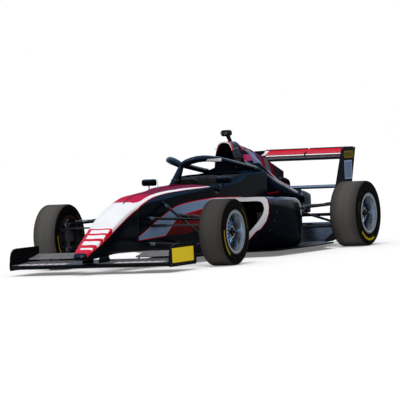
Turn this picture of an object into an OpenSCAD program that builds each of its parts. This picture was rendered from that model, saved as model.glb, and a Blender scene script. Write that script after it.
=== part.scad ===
// Open wheel racing car with a halo, as an assembly of named pieces. Lengths are in millimetres.
// The nose points to +X, the car's left side is +Y, +Z is up, and the ground is Z = 0 under the middle.

/* [Layout] */
// Distance between the axles
wheelbase = 2750; // [2650:10:2850]
// Front axle to the nose tip
front_overhang = 1090; // [1050:10:1140]
// Rear axle to the trailing edge of the rear wing
rear_overhang = 720; // [700:5:760]
// Distance between the middles of the front tyres
front_track = 1518; // [1480:2:1560]
// Distance between the middles of the rear tyres
rear_track = 1466; // [1440:2:1520]
// Height of the floor's underside above the ground
ride_h = 45; // [38:1:55]
// Gap where two pieces are seated on each other or run in each other
seat_gap = 0.3; // [0.2:0.05:0.5]

/* [Wheels] */
// Height of a front tyre's side wall
front_wall_h = 105; // [98:0.5:115]
// Height of a rear tyre's side wall
rear_wall_h = 122.5; // [115:0.5:130]
// Widest section of a front tyre
front_tyre_w = 218; // [206:1:228]
// Widest section of a rear tyre
rear_tyre_w = 270; // [256:1:280]
// Diameter of the tyre seat on the rim
rim_d = 330; // [320:1:340]
// Height of the rim flange above the tyre seat
flange_h = 16; // [12:1:18]
// Thickness of the rim's barrel and flanges
barrel_t = 7; // [5:0.5:9]
// How far the tyre bulges past the rim on each side
tyre_bulge = 4; // [2:0.5:6]
// Number of spokes
spoke_count = 12; // [8:1:14]
// Width of a spoke
spoke_w = 11; // [8:0.5:14]
// Outer radius of the wheel's centre
centre_r = 50; // [44:1:56]
// Gap between the brake disc and the rim's barrel
disc_clear = 30; // [26:1:40]
// Thickness of the brake disc
disc_t = 18; // [14:1:22]
// Radius of the stub axle
axle_r = 22; // [18:1:25]

/* [Body] */
// Length of the survival cell
tub_l = 2090; // [2040:10:2130]
// Outer width of the survival cell at the cockpit
tub_w = 640; // [610:5:670]
// Height of the cockpit's front lip above the ground
body_h = 640; // [620:5:660]
// Front bulkhead ahead of the front axle
bulkhead_ahead = 280; // [250:5:310]
// Height of the air inlet's top above the ground
airbox_h = 985; // [960:5:1010]
// Length of the engine cover behind the survival cell
cover_l = 1190; // [1170:5:1195]
// Wall of the engine cover, the side pods and the inlet
wall_t = 9; // [7:1:12]
// Half of the body's width over the side pods
pod_half_w = 645; // [620:5:665]
// Length of a side pod
pod_l = 1500; // [1470:10:1530]
// Side pod inlet ahead of the survival cell's rear end
pod_ahead = 700; // [670:10:730]
// Height of the side pod's top at the inlet
pod_h = 512; // [495:1:530]
// Width of the inlet's lip
pod_lip = 34; // [26:1:44]
// Thickness of the floor
floor_t = 10; // [8:1:14]
// Half width of the floor beside the side pods
floor_half_w = 690; // [670:5:705]
// Thickness of the skid plank under the floor
plank_t = 6; // [4:1:8]

/* [Cockpit] */
// Width of the halo over its tubes' middles
halo_w = 490; // [470:5:510]
// Highest middle of the halo's tube above the cockpit's front lip
halo_rise = 217; // [205:1:230]
// Thickness of the halo's tube
halo_tube = 46; // [42:1:50]
// Width of a mirror
mirror_w = 128; // [115:1:140]
// Height of a mirror
mirror_h = 58; // [50:1:66]
// Width of the steering wheel
steer_wheel_w = 270; // [250:2:290]
// Tilt of the steering column
column_tilt = 16; // [12:1:20]

/* [Wings] */
// Span of the front wing between its endplates
front_span = 1418; // [1380:2:1440]
// Chord of the front wing's main plane
front_chord = 330; // [300:5:350]
// Chord of a front flap
flap_chord = 165; // [150:5:180]
// Height of the front wing's end plates
front_plate_h = 176; // [160:2:190]
// Span of the rear wing between its endplates
rear_span = 880; // [850:5:910]
// Chord of the rear wing's main plane
rear_chord = 215; // [200:5:225]
// Height of the rear end plates' top above the ground
rear_plate_top = 868; // [850:2:885]
// Thickness of all end plates
plate_t = 12; // [10:1:16]

/* [Suspension] */
// Diameter of a suspension rod
rod_d = 22; // [18:1:26]
// Steering axis inboard of the wheel's middle
kingpin_in = 62; // [58:1:66]
// Height of the upper and lower ball joints from the axle
ball_rise = 102; // [96:1:106]
// Radius of the ball joint studs
stud_r = 9; // [7:0.5:10]
// Length of the steering arm
arm_l = 105; // [100:1:108]

/* [Details] */
// Round of the survival cell's lower edge
tub_foot_round = 40; // [25:1:60]
// Round of the body's upper edge
edge_round = 14; // [8:1:20]
// Round of the body's crown
crown_round = 90; // [60:5:120]
// Round of the cockpit's lower edge
cockpit_round = 60; // [40:5:80]
// Round of the engine cover's and side pods' edges
cover_round = 55; // [30:1:70]
// Round of a side pod's belly
belly_round = 200; // [120:5:220]
// Radius of the lugs that carry rods on the body
lug_r = 15; // [12:0.5:18]
// How far a lug stands off the body
lug_out = 20; // [14:1:26]
// How deep a lug is set into the body
lug_in = 70; // [50:5:90]
// Half of the front wishbones' spread along the body
front_reach = 190; // [175:5:200]
// Gearbox's rear end behind the rear axle
gear_behind = 255; // [235:5:270]
// Wall of a ball joint ring round its stud
ring_wall = 11; // [9:0.5:13]
// Height of a ball joint ring
ring_h = 26; // [24:1:30]
// Width of an upright's column
upright_w = 56; // [48:1:64]
// Depth of an upright's column
upright_d = 40; // [34:1:44]
// Radius of an upright's bearing housing
housing_r = 50; // [44:1:54]
// Thickness of the steering arm
arm_t = 16; // [12:1:20]
// Height of the steering arm above the axle
arm_rise = 56; // [50:1:62]
// Radius of the pin on the steering arm
arm_pin_r = 5; // [4:0.5:6]
// Play of the tie rod's eye round that pin
eye_play = 6.5; // [6:0.1:7.5]
// Wall of the tie rod's eye
eye_wall = 6; // [5:0.5:8]
// Thickness of the tie rod's eye
eye_t = 14; // [10:1:18]
// Radius of the steering rack
rack_r = 13; // [11:0.5:16]
// Radius of a tie rod
tie_r = 9; // [7:0.5:10]
// Wheel centre's outer end inside the rim's outer edge
front_inset = 34; // [28:1:42]
// The same at the rear
rear_inset = 46; // [36:1:54]
// Thickness of the wheel's centre
centre_t = 60; // [56:1:64]
// Spoke's foot behind the wheel centre's outer end
spoke_drop = 46; // [38:1:50]
// Depth of a spoke at the rim
spoke_d = 17; // [12:1:22]
// Radius of the wheel nut
nut_r = 27; // [22:1:30]
// Depth of the recess round the wheel nut
nut_recess = 12; // [8:1:16]
// Radius of the hub flange that carries the wheel
hub_flange_r = 62; // [54:1:70]
// Thickness of that flange
hub_flange_t = 10; // [8:1:12]
// Radius of the hub's barrel
hub_r = 36; // [32:1:40]
// Radius of a driveshaft
shaft_r = 14; // [12:1:17]
// Radius of a driveshaft's boot
boot_r = 36; // [30:1:42]
// Half width of the gearbox case
gear_half_w = 95; // [88:1:105]
// Half width of the bell housing
bell_half_w = 150; // [140:1:165]
// Half width over the gearbox's output flanges
gear_out = 142; // [132:1:155]
// Steering wheel's distance from the cockpit's front lip
wheel_back = 120; // [100:5:150]
// Radius of the steering shaft
column_r = 13; // [10:0.5:16]
// Thickness of the steering wheel's plate
wheel_plate_t = 20; // [14:1:26]
// Height of the rain light
lamp_h = 44; // [36:1:50]
// Width of the rain light
lamp_w = 80; // [70:1:90]
// Length of the camera pod
camera_l = 108; // [95:1:115]
// Width of the camera pod
camera_w = 70; // [60:1:80]
// Height of the camera pod
camera_h = 55; // [48:1:62]
// Gearbox's underside above the floor
gear_rise = 60; // [50:1:70]
// Clearance round brake discs, hubs and the hot pipe
run_clear = 10; // [8:1:12]
// Radius of the exhaust pipe
pipe_r = 25; // [22:0.5:27]

/* [Hidden] */
$fn = 48;
// Overrun of all cuts
cut = 10;
overall_l = front_overhang + wheelbase + rear_overhang;
x_front = overall_l / 2 - front_overhang;
x_rear = x_front - wheelbase;
floor_top = ride_h + floor_t;
tub_base = floor_top + seat_gap;
bulkhead_x = x_front + bulkhead_ahead;
tub_end_x = bulkhead_x - tub_l;
tub_half = tub_w / 2;
nose_l = front_overhang - bulkhead_ahead;
corner_steps = 3;

// Shapes

// A round of radius r at corner p between its neighbours a and b
function corner_arc(a, p, b, r, n = corner_steps) =
  let (la = norm(a - p), lb = norm(b - p),
       s = p + (a - p) * min(r / la, keep_share), e = p + (b - p) * min(r / lb, keep_share))
  [for (i = [0:n]) let (t = i / n) s * pow(1 - t, 2) + p * 2 * t * (1 - t) + e * pow(t, 2)];
keep_share = 0.45;

// A closed outline from corners [first, second, radius]
function rounded(c, n = corner_steps) = let (m = len(c))
  [for (i = [0:m - 1]) let (a = c[(i + m - 1) % m], p = c[i], b = c[(i + 1) % m])
    each corner_arc([a[0], a[1]], [p[0], p[1]], [b[0], b[1]], p[2], n)];

// An open outline: its two ends stay sharp
function rounded_open(c) = let (m = len(c))
  concat([[c[0][0], c[0][1]]],
    [for (i = [1:m - 2]) let (a = c[i - 1], p = c[i], b = c[i + 1])
      each corner_arc([a[0], a[1]], [p[0], p[1]], [b[0], b[1]], p[2])],
    [[c[m - 1][0], c[m - 1][1]]]);

// Lifts an outline in Y and Z to the place x
function at_x(x, outline) = [for (p = outline) [x, p[0], p[1]]];

// Adds the other side to a half outline that goes from the bottom up on +Y
function both_sides(half) = concat(half,
  [for (i = [len(half) - 1:-1:0]) [-half[i][0], half[i][1], half[i][2]]]);

function reversed(v) = [for (i = [len(v) - 1:-1:0]) v[i]];
function middle(v) = [for (k = [0:2]) (min([for (p = v) p[k]]) + max([for (p = v) p[k]])) / 2];
function column(table, k) = [for (row = table) [row[0], row[k]]];

// Triangles between two neighbouring rings of n points that start at index i and k
function band(i, k, n) = [for (j = [0:n - 1]) let (q = (j + 1) % n)
  each [[i + j, i + q, k + q], [i + j, k + q, k + j]]];

// Solid skin over closed rings, that run anticlockwise as seen along the way
module loft(rings) {
  n = len(rings[0]);
  m = len(rings);
  ends = [middle(rings[0]), middle(rings[m - 1])];
  polyhedron(concat([for (r = rings) each r], ends), concat(
    [for (i = [0:m - 2]) each band(i * n, (i + 1) * n, n)],
    [for (j = [0:n - 1]) [m * n, (j + 1) % n, j]],
    [for (j = [0:n - 1]) [m * n + 1, (m - 1) * n + j, (m - 1) * n + (j + 1) % n]]), convexity = 6);
}

// Open shell: outer and inner open outlines of the same length at each place
module shell(outer, inner) {
  m = len(outer);
  h = len(outer[0]);
  n = 2 * h;
  last = (m - 1) * n;
  rings = [for (i = [0:m - 1]) concat(outer[i], reversed(inner[i]))];
  polyhedron([for (r = rings) each r], concat(
    [for (i = [0:m - 2]) each band(i * n, (i + 1) * n, n)],
    [for (j = [0:h - 2]) each [[j, n - 1 - j, n - 2 - j], [j, n - 2 - j, j + 1]]],
    [for (j = [0:h - 2]) each [[last + j, last + j + 1, last + n - 2 - j],
      [last + j, last + n - 2 - j, last + n - 1 - j]]]), convexity = 8);
}

// Duct: closed outer and inner rings, open at both ends
module duct(outer, inner) {
  m = len(outer);
  n = len(outer[0]);
  o = m * n;
  last = (m - 1) * n;
  polyhedron(concat([for (r = outer) each r], [for (r = inner) each r]), concat(
    [for (i = [0:m - 2]) each band(i * n, (i + 1) * n, n)],
    [for (i = [0:m - 2]) each [for (f = band(o + i * n, o + (i + 1) * n, n)) reversed(f)]],
    [for (f = band(0, o, n)) reversed(f)], band(last, o + last, n)), convexity = 8);
}

// Round bar from a to b
module rod(a, b, d) {
  v = b - a;
  translate(a)
    rotate([0, acos(v[2] / norm(v)), atan2(v[1], v[0])])
      cylinder(d = d, h = norm(v));
}

// Copies a piece to the other side
module pair() {
  children();
  mirror([0, 1, 0]) children();
}

// Stands a shape, drawn with X forward and Y up, upright and makes it as wide as w about Y = 0
module across(w) {
  translate([0, w / 2, 0])
    rotate([90, 0, 0])
      linear_extrude(w) children();
}

// Upside-down wing section, leading edge at zero, trailing edge back and up
function wing_points(chord, thick_share, camber_share, n = wing_steps) =
  let (t = [for (i = [0:n]) (1 - cos(180 * i / n)) / 2],
       half = [for (x = t) wing_thick(x) * thick_share * chord],
       line = [for (x = t) -4 * camber_share * chord * x * (1 - x)])
  concat([for (i = [0:n]) [-t[i] * chord, line[i] + half[i]]],
    [for (i = [n:-1:1]) [-t[i] * chord, line[i] - half[i]]]);
function wing_thick(x) = 5 * (0.2969 * sqrt(x) - 0.126 * x - 0.3516 * x * x + 0.2843 * pow(x, 3)
  - 0.0936 * pow(x, 4));
wing_steps = 12;

// Places

bead_r = rim_d / 2;
front_tyre_d = rim_d + 2 * front_wall_h;
rear_tyre_d = rim_d + 2 * rear_wall_h;
front_r = front_tyre_d / 2;
rear_r = rear_tyre_d / 2;
disc_r = bead_r - seat_gap - barrel_t - disc_clear;
front_w_y = front_track / 2;
rear_w_y = rear_track / 2;
kingpin_y = front_w_y - kingpin_in;
stud_y = rear_w_y - kingpin_in;
ball_top = [x_front, kingpin_y, front_r + ball_rise];
ball_low = [x_front, kingpin_y, front_r - ball_rise];
rear_ball_top = [x_rear, stud_y, rear_r + ball_rise];
rear_ball_low = [x_rear, stud_y, rear_r - ball_rise];
arm_z = front_r + arm_rise;
rack_x = x_front + arm_l;
rack_z = arm_z + arm_t / 2 + seat_gap + eye_t / 2;

// Body

// Slope of a table's rows at row i, and a smooth row between rows i and i + 1
function slope(t, i) = let (a = t[max(i - 1, 0)], b = t[min(i + 1, len(t) - 1)]) (b - a) / (b[0] - a[0]);
function between(t, i, u) = let (h = t[i + 1][0] - t[i][0])
  t[i] * (2 * pow(u, 3) - 3 * pow(u, 2) + 1) + slope(t, i) * h * (pow(u, 3) - 2 * pow(u, 2) + u)
  + t[i + 1] * (3 * pow(u, 2) - 2 * pow(u, 3)) + slope(t, i + 1) * h * (pow(u, 3) - pow(u, 2));
function smooth(t, k) = concat(
  [for (i = [0:len(t) - 2]) for (j = [0:k - 1]) between(t, i, j / k)], [t[len(t) - 1]]);

// Nose sections: [along nose_l, half width of the front bulkhead, underside, edge, crown of body_h, foot]
nose_shares = [
  [0.00, 0.24, 0.205, 0.225, 0.235, 0.97],
  [0.02, 0.38, 0.190, 0.250, 0.262, 0.97],
  [0.06, 0.46, 0.186, 0.280, 0.296, 0.97],
  [0.25, 0.64, 0.195, 0.400, 0.425, 0.96],
  [0.62, 0.84, 0.225, 0.640, 0.676, 0.90],
  [0.85, 0.93, 0.222, 0.755, 0.812, 0.86],
  [1.00, 1.00, 0.219, 0.803, 0.882, 0.84]];
nose_rows = smooth(nose_shares, 3);

// Survival cell: [along tub_l, half width of tub_w / 2, foot of that, underside over the floor, edge, crown]
tub_shares = [
  [0.000, 0.44, 0.84, 0.132, 0.803, 0.882],
  [0.076, 0.53, 0.84, 0.127, 0.838, 0.928],
  [0.160, 0.63, 0.84, 0.117, 0.866, 0.942],
  [0.302, 0.78, 0.86, 0.064, 0.914, 0.966],
  [0.430, 0.89, 0.92, 0.000, 0.945, 1.000],
  [0.498, 0.95, 0.96, 0.000, 0.966, 1.008],
  [0.636, 1.00, 1.00, 0.000, 0.985, 1.020],
  [0.756, 1.00, 1.00, 0.000, 1.010, 1.050],
  [0.818, 1.00, 1.00, 0.000, 1.100, 1.130],
  [1.000, 1.00, 1.00, 0.000, 1.100, 1.130]];
tub_rows = concat(smooth([for (i = [0:6]) tub_shares[i]], 3), [for (i = [7:9]) tub_shares[i]]);

// Cockpit and leg room: [along tub_l, half width of tub_w / 2, floor, top of body_h]
cockpit_shares = [
  [0.182, 0.36, 0.300, 0.70],
  [0.302, 0.55, 0.250, 0.78],
  [0.4976, 0.72, 0.172, 0.84],
  [0.4978, 0.72, 0.172, 1.50],
  [0.612, 0.79, 0.156, 1.50],
  [0.900, 0.79, 0.156, 1.50]];
crown_share = 0.55;
cockpit_foot_share = 0.92;

function tub_ring(s) = let (w = min(s[1], 1) * tub_half, low = tub_base + max(s[3], 0) * body_h)
  at_x(bulkhead_x - s[0] * tub_l, rounded(both_sides([[w * s[2], low, tub_foot_round],
    [w, s[4] * body_h, edge_round], [w * crown_share, s[5] * body_h, crown_round]])));

function nose_ring(s) = let (w = s[1] * tub_shares[0][1] * tub_half, h = (s[4] - s[2]) * body_h)
  at_x(bulkhead_x + seat_gap + (1 - s[0]) * (nose_l - seat_gap),
    rounded(both_sides([[w * s[5], s[2] * body_h, min(tub_foot_round, h * nose_round_share)],
      [w, s[3] * body_h, min(edge_round, h * nose_round_share)],
      [w * crown_share, s[4] * body_h, min(crown_round, h)]])));
nose_round_share = 0.35;

function cockpit_ring(s) = let (w = s[1] * tub_half, mid = (s[2] + min(s[3], cockpit_shares[2][3])) / 2)
  at_x(bulkhead_x - s[0] * tub_l, rounded(both_sides([[w * cockpit_foot_share, s[2] * body_h, cockpit_round],
    [w, mid * body_h, cockpit_round], [w, s[3] * body_h, edge_round]])));

// Side of the survival cell at the place x and height z
function tub_side(x, z) = let (s = (bulkhead_x - x) / tub_l, w = lookup(s, column(tub_rows, 1)) * tub_half,
    f = w * lookup(s, column(tub_rows, 2)), low = tub_base + max(lookup(s, column(tub_rows, 3)), 0) * body_h,
    top = lookup(s, column(tub_rows, 4)) * body_h)
  f + (w - f) * (z - low) / (top - low);

// Rods to the survival cell: [x of front_reach, height of body_h, 1 upper or -1 lower ball]
front_leg_shares = [[0.8, 0.633, 1], [-1.2, 0.633, 1], [0.8, 0.312, -1], [-1.2, 0.291, -1]];
// Push rod's upper end likewise, and its lower end inboard of the steering axis in ring heights
push_top_shares = [-0.2, 0.793];
push_in_share = 1.6;

function tub_pick(s) = let (x = x_front + s[0] * front_reach, z = s[1] * body_h)
  [x, tub_side(x, z) + lug_out, z];
function ball(k) = k > 0 ? ball_top : ball_low;
function unit(v) = v / norm(v);
push_top = tub_pick(push_top_shares);
push_low = ball_low - [0, push_in_share * ring_h, 0];

// Lug on the body in line with a rod that comes from the place far to the place near
module lug(near, far) {
  rod(near + unit(near - far) * lug_in, near, 2 * lug_r);
}

// Halo: front foot, ring and rear feet
halo_h = body_h + halo_rise;
halo_lug_share = 0.9;
// Front foot behind the bulkhead of tub_l, and the widest place behind the apex of halo_w
halo_foot_share = 0.452;
halo_wide_share = 0.88;
// In tube thicknesses: the foot's length, width and rise, the apex [behind the foot, below the top],
// the rear ends [ahead of the cell's end, below the top]
halo_foot_shares = [4.2, 0.8, 0.22];
halo_apex_shares = [3.2, 1.1];
halo_end_shares = [1.5, 2.55];
halo_foot_x = bulkhead_x - halo_foot_share * tub_l;
halo_foot_l = halo_foot_shares[0] * halo_tube;
halo_foot_w = halo_foot_shares[1] * halo_tube;
halo_foot_z = tub_shares[5][5] * body_h + halo_foot_shares[2] * halo_tube;
halo_apex_x = halo_foot_x - halo_apex_shares[0] * halo_tube;
halo_wide_x = halo_apex_x - halo_wide_share * halo_w;
halo_end_x = tub_end_x + halo_end_shares[0] * halo_tube;
halo_lug_l = (halo_end_x - tub_end_x) * halo_lug_share;
halo_apex_z = halo_h - halo_apex_shares[1] * halo_tube;
halo_end_z = halo_h - halo_end_shares[1] * halo_tube;
// Height of the front arc between halo_apex_z and halo_h: [angle, share]
arc_shares = [[0, 0], [10, 0.42], [20, 0.75], [30, 0.94], [40, 1], [50, 0.94], [60, 0.80], [70, 0.58],
  [80, 0.36], [90, 0.13]];
halo_wide_z = halo_apex_z + arc_shares[9][1] * (halo_h - halo_apex_z);
halo_half = concat(
  [for (s = arc_shares) [halo_wide_x + (halo_apex_x - halo_wide_x) * cos(s[0]), halo_w / 2 * sin(s[0]),
    halo_apex_z + (halo_h - halo_apex_z) * s[1]]],
  [for (t = [0.25:0.25:1]) [halo_wide_x + (halo_end_x - halo_wide_x) * t, halo_w / 2,
    halo_wide_z + (halo_end_z - halo_wide_z) * t]]);
halo_path = concat(
  [for (i = [len(halo_half) - 1:-1:1]) [halo_half[i][0], -halo_half[i][1], halo_half[i][2]]], halo_half);
function path_way(p, i) = unit(p[min(i + 1, len(p) - 1)] - p[max(i - 1, 0)]);
halo_end_way = path_way(halo_path, len(halo_path) - 1);

// Mirrors
// Behind the bulkhead of tub_l, beside the cell of tub_w / 2, over body_h of mirror_h
mirror_at_shares = [0.555, 1.1, 0.55];
// Foot of its stalk: [ahead of the mirror of mirror_h, height of body_h]
mirror_foot_shares = [0.4, 0.92];
stalk_d_share = 0.8;
mirror_x = bulkhead_x - mirror_at_shares[0] * tub_l;
mirror_at = [mirror_x, tub_half * mirror_at_shares[1], body_h + mirror_at_shares[2] * mirror_h];
mirror_foot_z = mirror_foot_shares[1] * body_h;
mirror_pick = [mirror_x + mirror_foot_shares[0] * mirror_h, tub_side(mirror_x, mirror_foot_z) + lug_out,
  mirror_foot_z];
stalk_d = lug_r * stalk_d_share;

module monocoque() {
  color("#14161f") difference() {
    union() {
      loft([for (s = tub_rows) tub_ring(s)]);
      pair() {
        for (s = front_leg_shares) lug(tub_pick(s), ball(s[2]));
        lug(push_top, push_low);
        rod(mirror_pick - [0, lug_in, 0], mirror_pick, 2 * lug_r);
        translate(halo_half[len(halo_half) - 1] + halo_end_way * seat_gap) {
          rod([0, 0, 0], halo_end_way * halo_lug_l, halo_tube);
          translate([-halo_lug_l / 2, 0, -lug_in]) cylinder(d = halo_tube, h = lug_in);
        }
      }
      translate([halo_foot_x, 0, halo_foot_z - lug_in])
        linear_extrude(lug_in) pillar_plan();
    }
    loft([for (s = cockpit_shares) cockpit_ring(s)]);
    translate([rack_x, tub_w, rack_z])
      rotate([90, 0, 0]) cylinder(r = rack_r + seat_gap, h = 2 * tub_w);
  }
}

module pillar_plan() {
  polygon([for (a = [0:15:345]) [halo_foot_l / 2 * cos(a), halo_foot_w / 2 * sin(a)]]);
}

// Pylons that hold the front wing under the nose
// Half distance of the bulkhead's half width, place of front_overhang, length of front_chord
pylon_shares = [0.52, 0.73, 0.45];
// Leading edge over the end plates' foot, pylon pads and flaps over that, of front_chord
wing_rise_share = 0.09;
pad_rise_share = 0.14;
flap_rise_share = 0.135;
pylon_y = pylon_shares[0] * tub_shares[0][1] * tub_half;
pylon_x = x_front + pylon_shares[1] * front_overhang;
pylon_l = pylon_shares[2] * front_chord;
wing_z = ride_h + wing_rise_share * front_chord;
pad_z = wing_z + pad_rise_share * front_chord;

module nose_cone() {
  color("#b3161d") union() {
    loft([for (s = nose_rows) nose_ring(s)]);
    pair() translate([pylon_x - pylon_l / 2, pylon_y - plate_t / 2, pad_z + seat_gap])
      cube([pylon_l, plate_t, nose_shares[4][2] * body_h + 2 * plate_t - pad_z]);
  }
}

front_lead_share = 0.86;
front_lead_x = x_front + front_lead_share * front_overhang;
module front_wing() {
  color("#23252b") union() {
    translate([front_lead_x, 0, wing_z])
      across(front_span) rotate(-front_angle)
        polygon(wing_points(front_chord, front_thick_share, front_camber_share));
    pair() translate([pylon_x - pylon_l / 2, pylon_y - plate_t, wing_z])
      cube([pylon_l, 2 * plate_t, pad_z - wing_z]);
  }
}
front_angle = 5;
front_thick_share = 0.13;
front_camber_share = 0.05;

// Inner end of front_span, leading edge behind the plane's of front_chord
flap_at_shares = [0.19, 0.93];
flap_in_y = flap_at_shares[0] * front_span;
flap_x = front_lead_x - flap_at_shares[1] * front_chord;
flap_z = wing_z + flap_rise_share * front_chord;
flap_angle = 13;
module front_flaps() {
  flap_w = front_span / 2 - flap_in_y;
  color("#8d949b") pair() translate([flap_x, flap_in_y + flap_w / 2, flap_z])
    across(flap_w) rotate(-flap_angle)
      polygon(wing_points(flap_chord, flap_thick_share, front_camber_share));
}
flap_thick_share = 0.11;

// Front end plate outline: [along, up, round] as shares of its length and height
front_plate_shares = [[0.02, 0, 0.05], [0, 0.15, 0.1], [0.06, 1, 0.5], [1, 1, 0.1], [0.98, 0, 0.1]];
// Its length and its front edge behind the wing's, of front_chord
front_plate_l_share = 1.48;
front_plate_at_share = 0.02;
front_plate_l = front_plate_l_share * front_chord;
front_plate_x = front_lead_x - front_plate_at_share * front_chord;
module front_endplates() {
  color("#15171c") pair() translate([front_plate_x, (front_span + plate_t) / 2, ride_h])
    across(plate_t) polygon(rounded([for (s = front_plate_shares)
      [-s[0] * front_plate_l, s[1] * front_plate_h, s[2] * front_plate_h]]));
}

// Floor outline: [x share from the splitter's tip to the diffuser, half width share]
// Floor's front end behind the front axle of wheelbase, its rear end ahead of the rear axle of the tyre
floor_front_share = 0.09;
floor_end_share = 0.18;
floor_front_x = x_front - floor_front_share * wheelbase;
floor_end_x = x_rear + floor_end_share * rear_tyre_d;
floor_l = floor_front_x - floor_end_x;
floor_shares = [[0, 0.16], [0.015, 0.21], [0.15, 0.30], [0.31, 0.46], [0.36, 0.56], [0.40, 0.90],
  [0.43, 0.95],
  [0.78, 1], [0.895, 0.97], [0.925, 0.90], [0.955, 0.72], [1, 0.70]];
module floor_pan() {
  color("#1b1c20") translate([0, 0, ride_h]) linear_extrude(floor_t)
    polygon(concat([for (s = floor_shares) [floor_front_x - s[0] * floor_l, s[1] * floor_half_w]],
      [for (i = [len(floor_shares) - 1:-1:0]) [floor_front_x - floor_shares[i][0] * floor_l,
        -floor_shares[i][1] * floor_half_w]]));
}

plank_l_share = 0.9;
module skid_plank() {
  color("#6b5637") translate([floor_end_x + floor_l * (1 - plank_l_share) / 2, -tub_half * plank_w_share,
    ride_h - plank_t])
    cube([floor_l * plank_l_share, 2 * tub_half * plank_w_share, plank_t]);
}
plank_w_share = 0.31;

// Length of rear_overhang, rise of the rear tyre, half width of the floor's
diffuser_shares = [0.72, 0.26, 0.66];
// A strake's lower edge: [front of the length, rear height of the rise]
fence_shares = [0.4, 0.25];
diffuser_l = diffuser_shares[0] * rear_overhang;
diffuser_rise = diffuser_shares[1] * rear_tyre_d;
diffuser_half_w = diffuser_shares[2] * floor_half_w;
strake_shares = [-1, -0.66, -0.33, 0.33, 0.66, 1];
module diffuser() {
  side = [[0, 0], [0, floor_t], [-diffuser_l, diffuser_rise + floor_t], [-diffuser_l, diffuser_rise]];
  fence = [[0, 0], [-diffuser_l, diffuser_rise], [-diffuser_l, diffuser_rise * fence_shares[1]],
    [-diffuser_l * fence_shares[0], 0]];
  color("#1b1c20") translate([floor_end_x - seat_gap, 0, ride_h]) union() {
    across(2 * diffuser_half_w) polygon(side);
    for (s = strake_shares) translate([0, s * (diffuser_half_w - floor_t / 2), 0])
      across(floor_t) polygon(fence);
  }
}

// Engine cover: [along cover_l, shoulder half width, its height, spine root half width, its height,
// spine half width, its top, lower edge]; widths of tub_w / 2, heights of airbox_h
cover_shares = [
  [0.00, 0.97, 0.722, 0.36, 0.795, 0.200, 1.000, 0.440],
  [0.15, 0.80, 0.706, 0.29, 0.757, 0.150, 0.938, 0.425],
  [0.32, 0.64, 0.676, 0.24, 0.708, 0.125, 0.855, 0.405],
  [0.49, 0.55, 0.630, 0.20, 0.655, 0.110, 0.765, 0.398],
  [0.71, 0.44, 0.570, 0.17, 0.590, 0.105, 0.645, 0.398],
  [0.86, 0.37, 0.528, 0.155, 0.542, 0.105, 0.566, 0.398],
  [1.00, 0.31, 0.500, 0.15, 0.510, 0.110, 0.525, 0.398]];
cover_rows = smooth(cover_shares, 2);
cover_taper_share = 0.58;
cover_mid_share = 0.55;
// Fin and tail block along the spine: [along cover_l, height of airbox_h]
fin_shares = [[0.002, 0.90], [0.002, 0.988], [0.06, 0.976], [0.315, 0.912], [0.605, 0.804], [0.878, 0.694],
  [0.874, 0.63], [0.74, 0.60]];
tail_shares = [[0.74, 0.60], [0.78, 0.645], [0.85, 0.632], [0.90, 0.612], [0.916, 0.590], [0.916, 0.53],
  [0.83, 0.545]];
tail_w_share = 0.28;

function cover_half(x) = tub_half * (1 - cover_taper_share * max(0, tub_end_x - x) / cover_l);
function cover_ring(s, w) = let (x = tub_end_x - seat_gap - s[0] * (cover_l - seat_gap),
    low = airbox_h * s[7],
    b = cover_half(x) - w, z = s[2] * airbox_h - w, r = cover_round)
  at_x(x, rounded_open(both_sides([[b, low, 0], [b, low + (z - low) * cover_mid_share, r],
    [s[1] * tub_half - w, z, r], [s[3] * tub_half - w, s[4] * airbox_h - w, r],
    [max(s[5] * tub_half - w, wall_t / 2), s[6] * airbox_h - w, r]])));

module engine_cover() {
  color("#14161f") union() {
    shell([for (s = cover_rows) cover_ring(s, 0)], [for (s = cover_rows) cover_ring(s, wall_t)]);
    across(plate_t) polygon([for (s = fin_shares) [tub_end_x - s[0] * cover_l, s[1] * airbox_h]]);
    across(tub_half * tail_w_share)
      polygon([for (s = tail_shares) [tub_end_x - s[0] * cover_l, s[1] * airbox_h]]);
  }
}

// Air inlet: its mouth and its rear end, where the cover takes over
airbox_l_share = 0.16;
airbox_l = airbox_l_share * airbox_h;
airbox_foot_z = tub_shares[8][5] * body_h + seat_gap;
airbox_shares = [[0, 0.33, 0.195, 1], [1, 0.36, 0.20, 1]];
module airbox() {
  function ring(s, w) = at_x(tub_end_x + (1 - s[0]) * airbox_l, rounded(both_sides([
    [s[1] * tub_half - w, airbox_foot_z + (w > 0 ? mouth_low_share * (airbox_h - airbox_foot_z) : 0),
      cover_round / 2],
    [s[2] * tub_half - w, s[3] * airbox_h - w, cover_round]])));
  color("#14161f") duct([for (s = airbox_shares) ring(s, 0)], [for (s = airbox_shares) ring(s, wall_t)]);
}
// Mouth's lower edge over the inlet's foot, of the inlet's height
mouth_low_share = 0.377;

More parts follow.
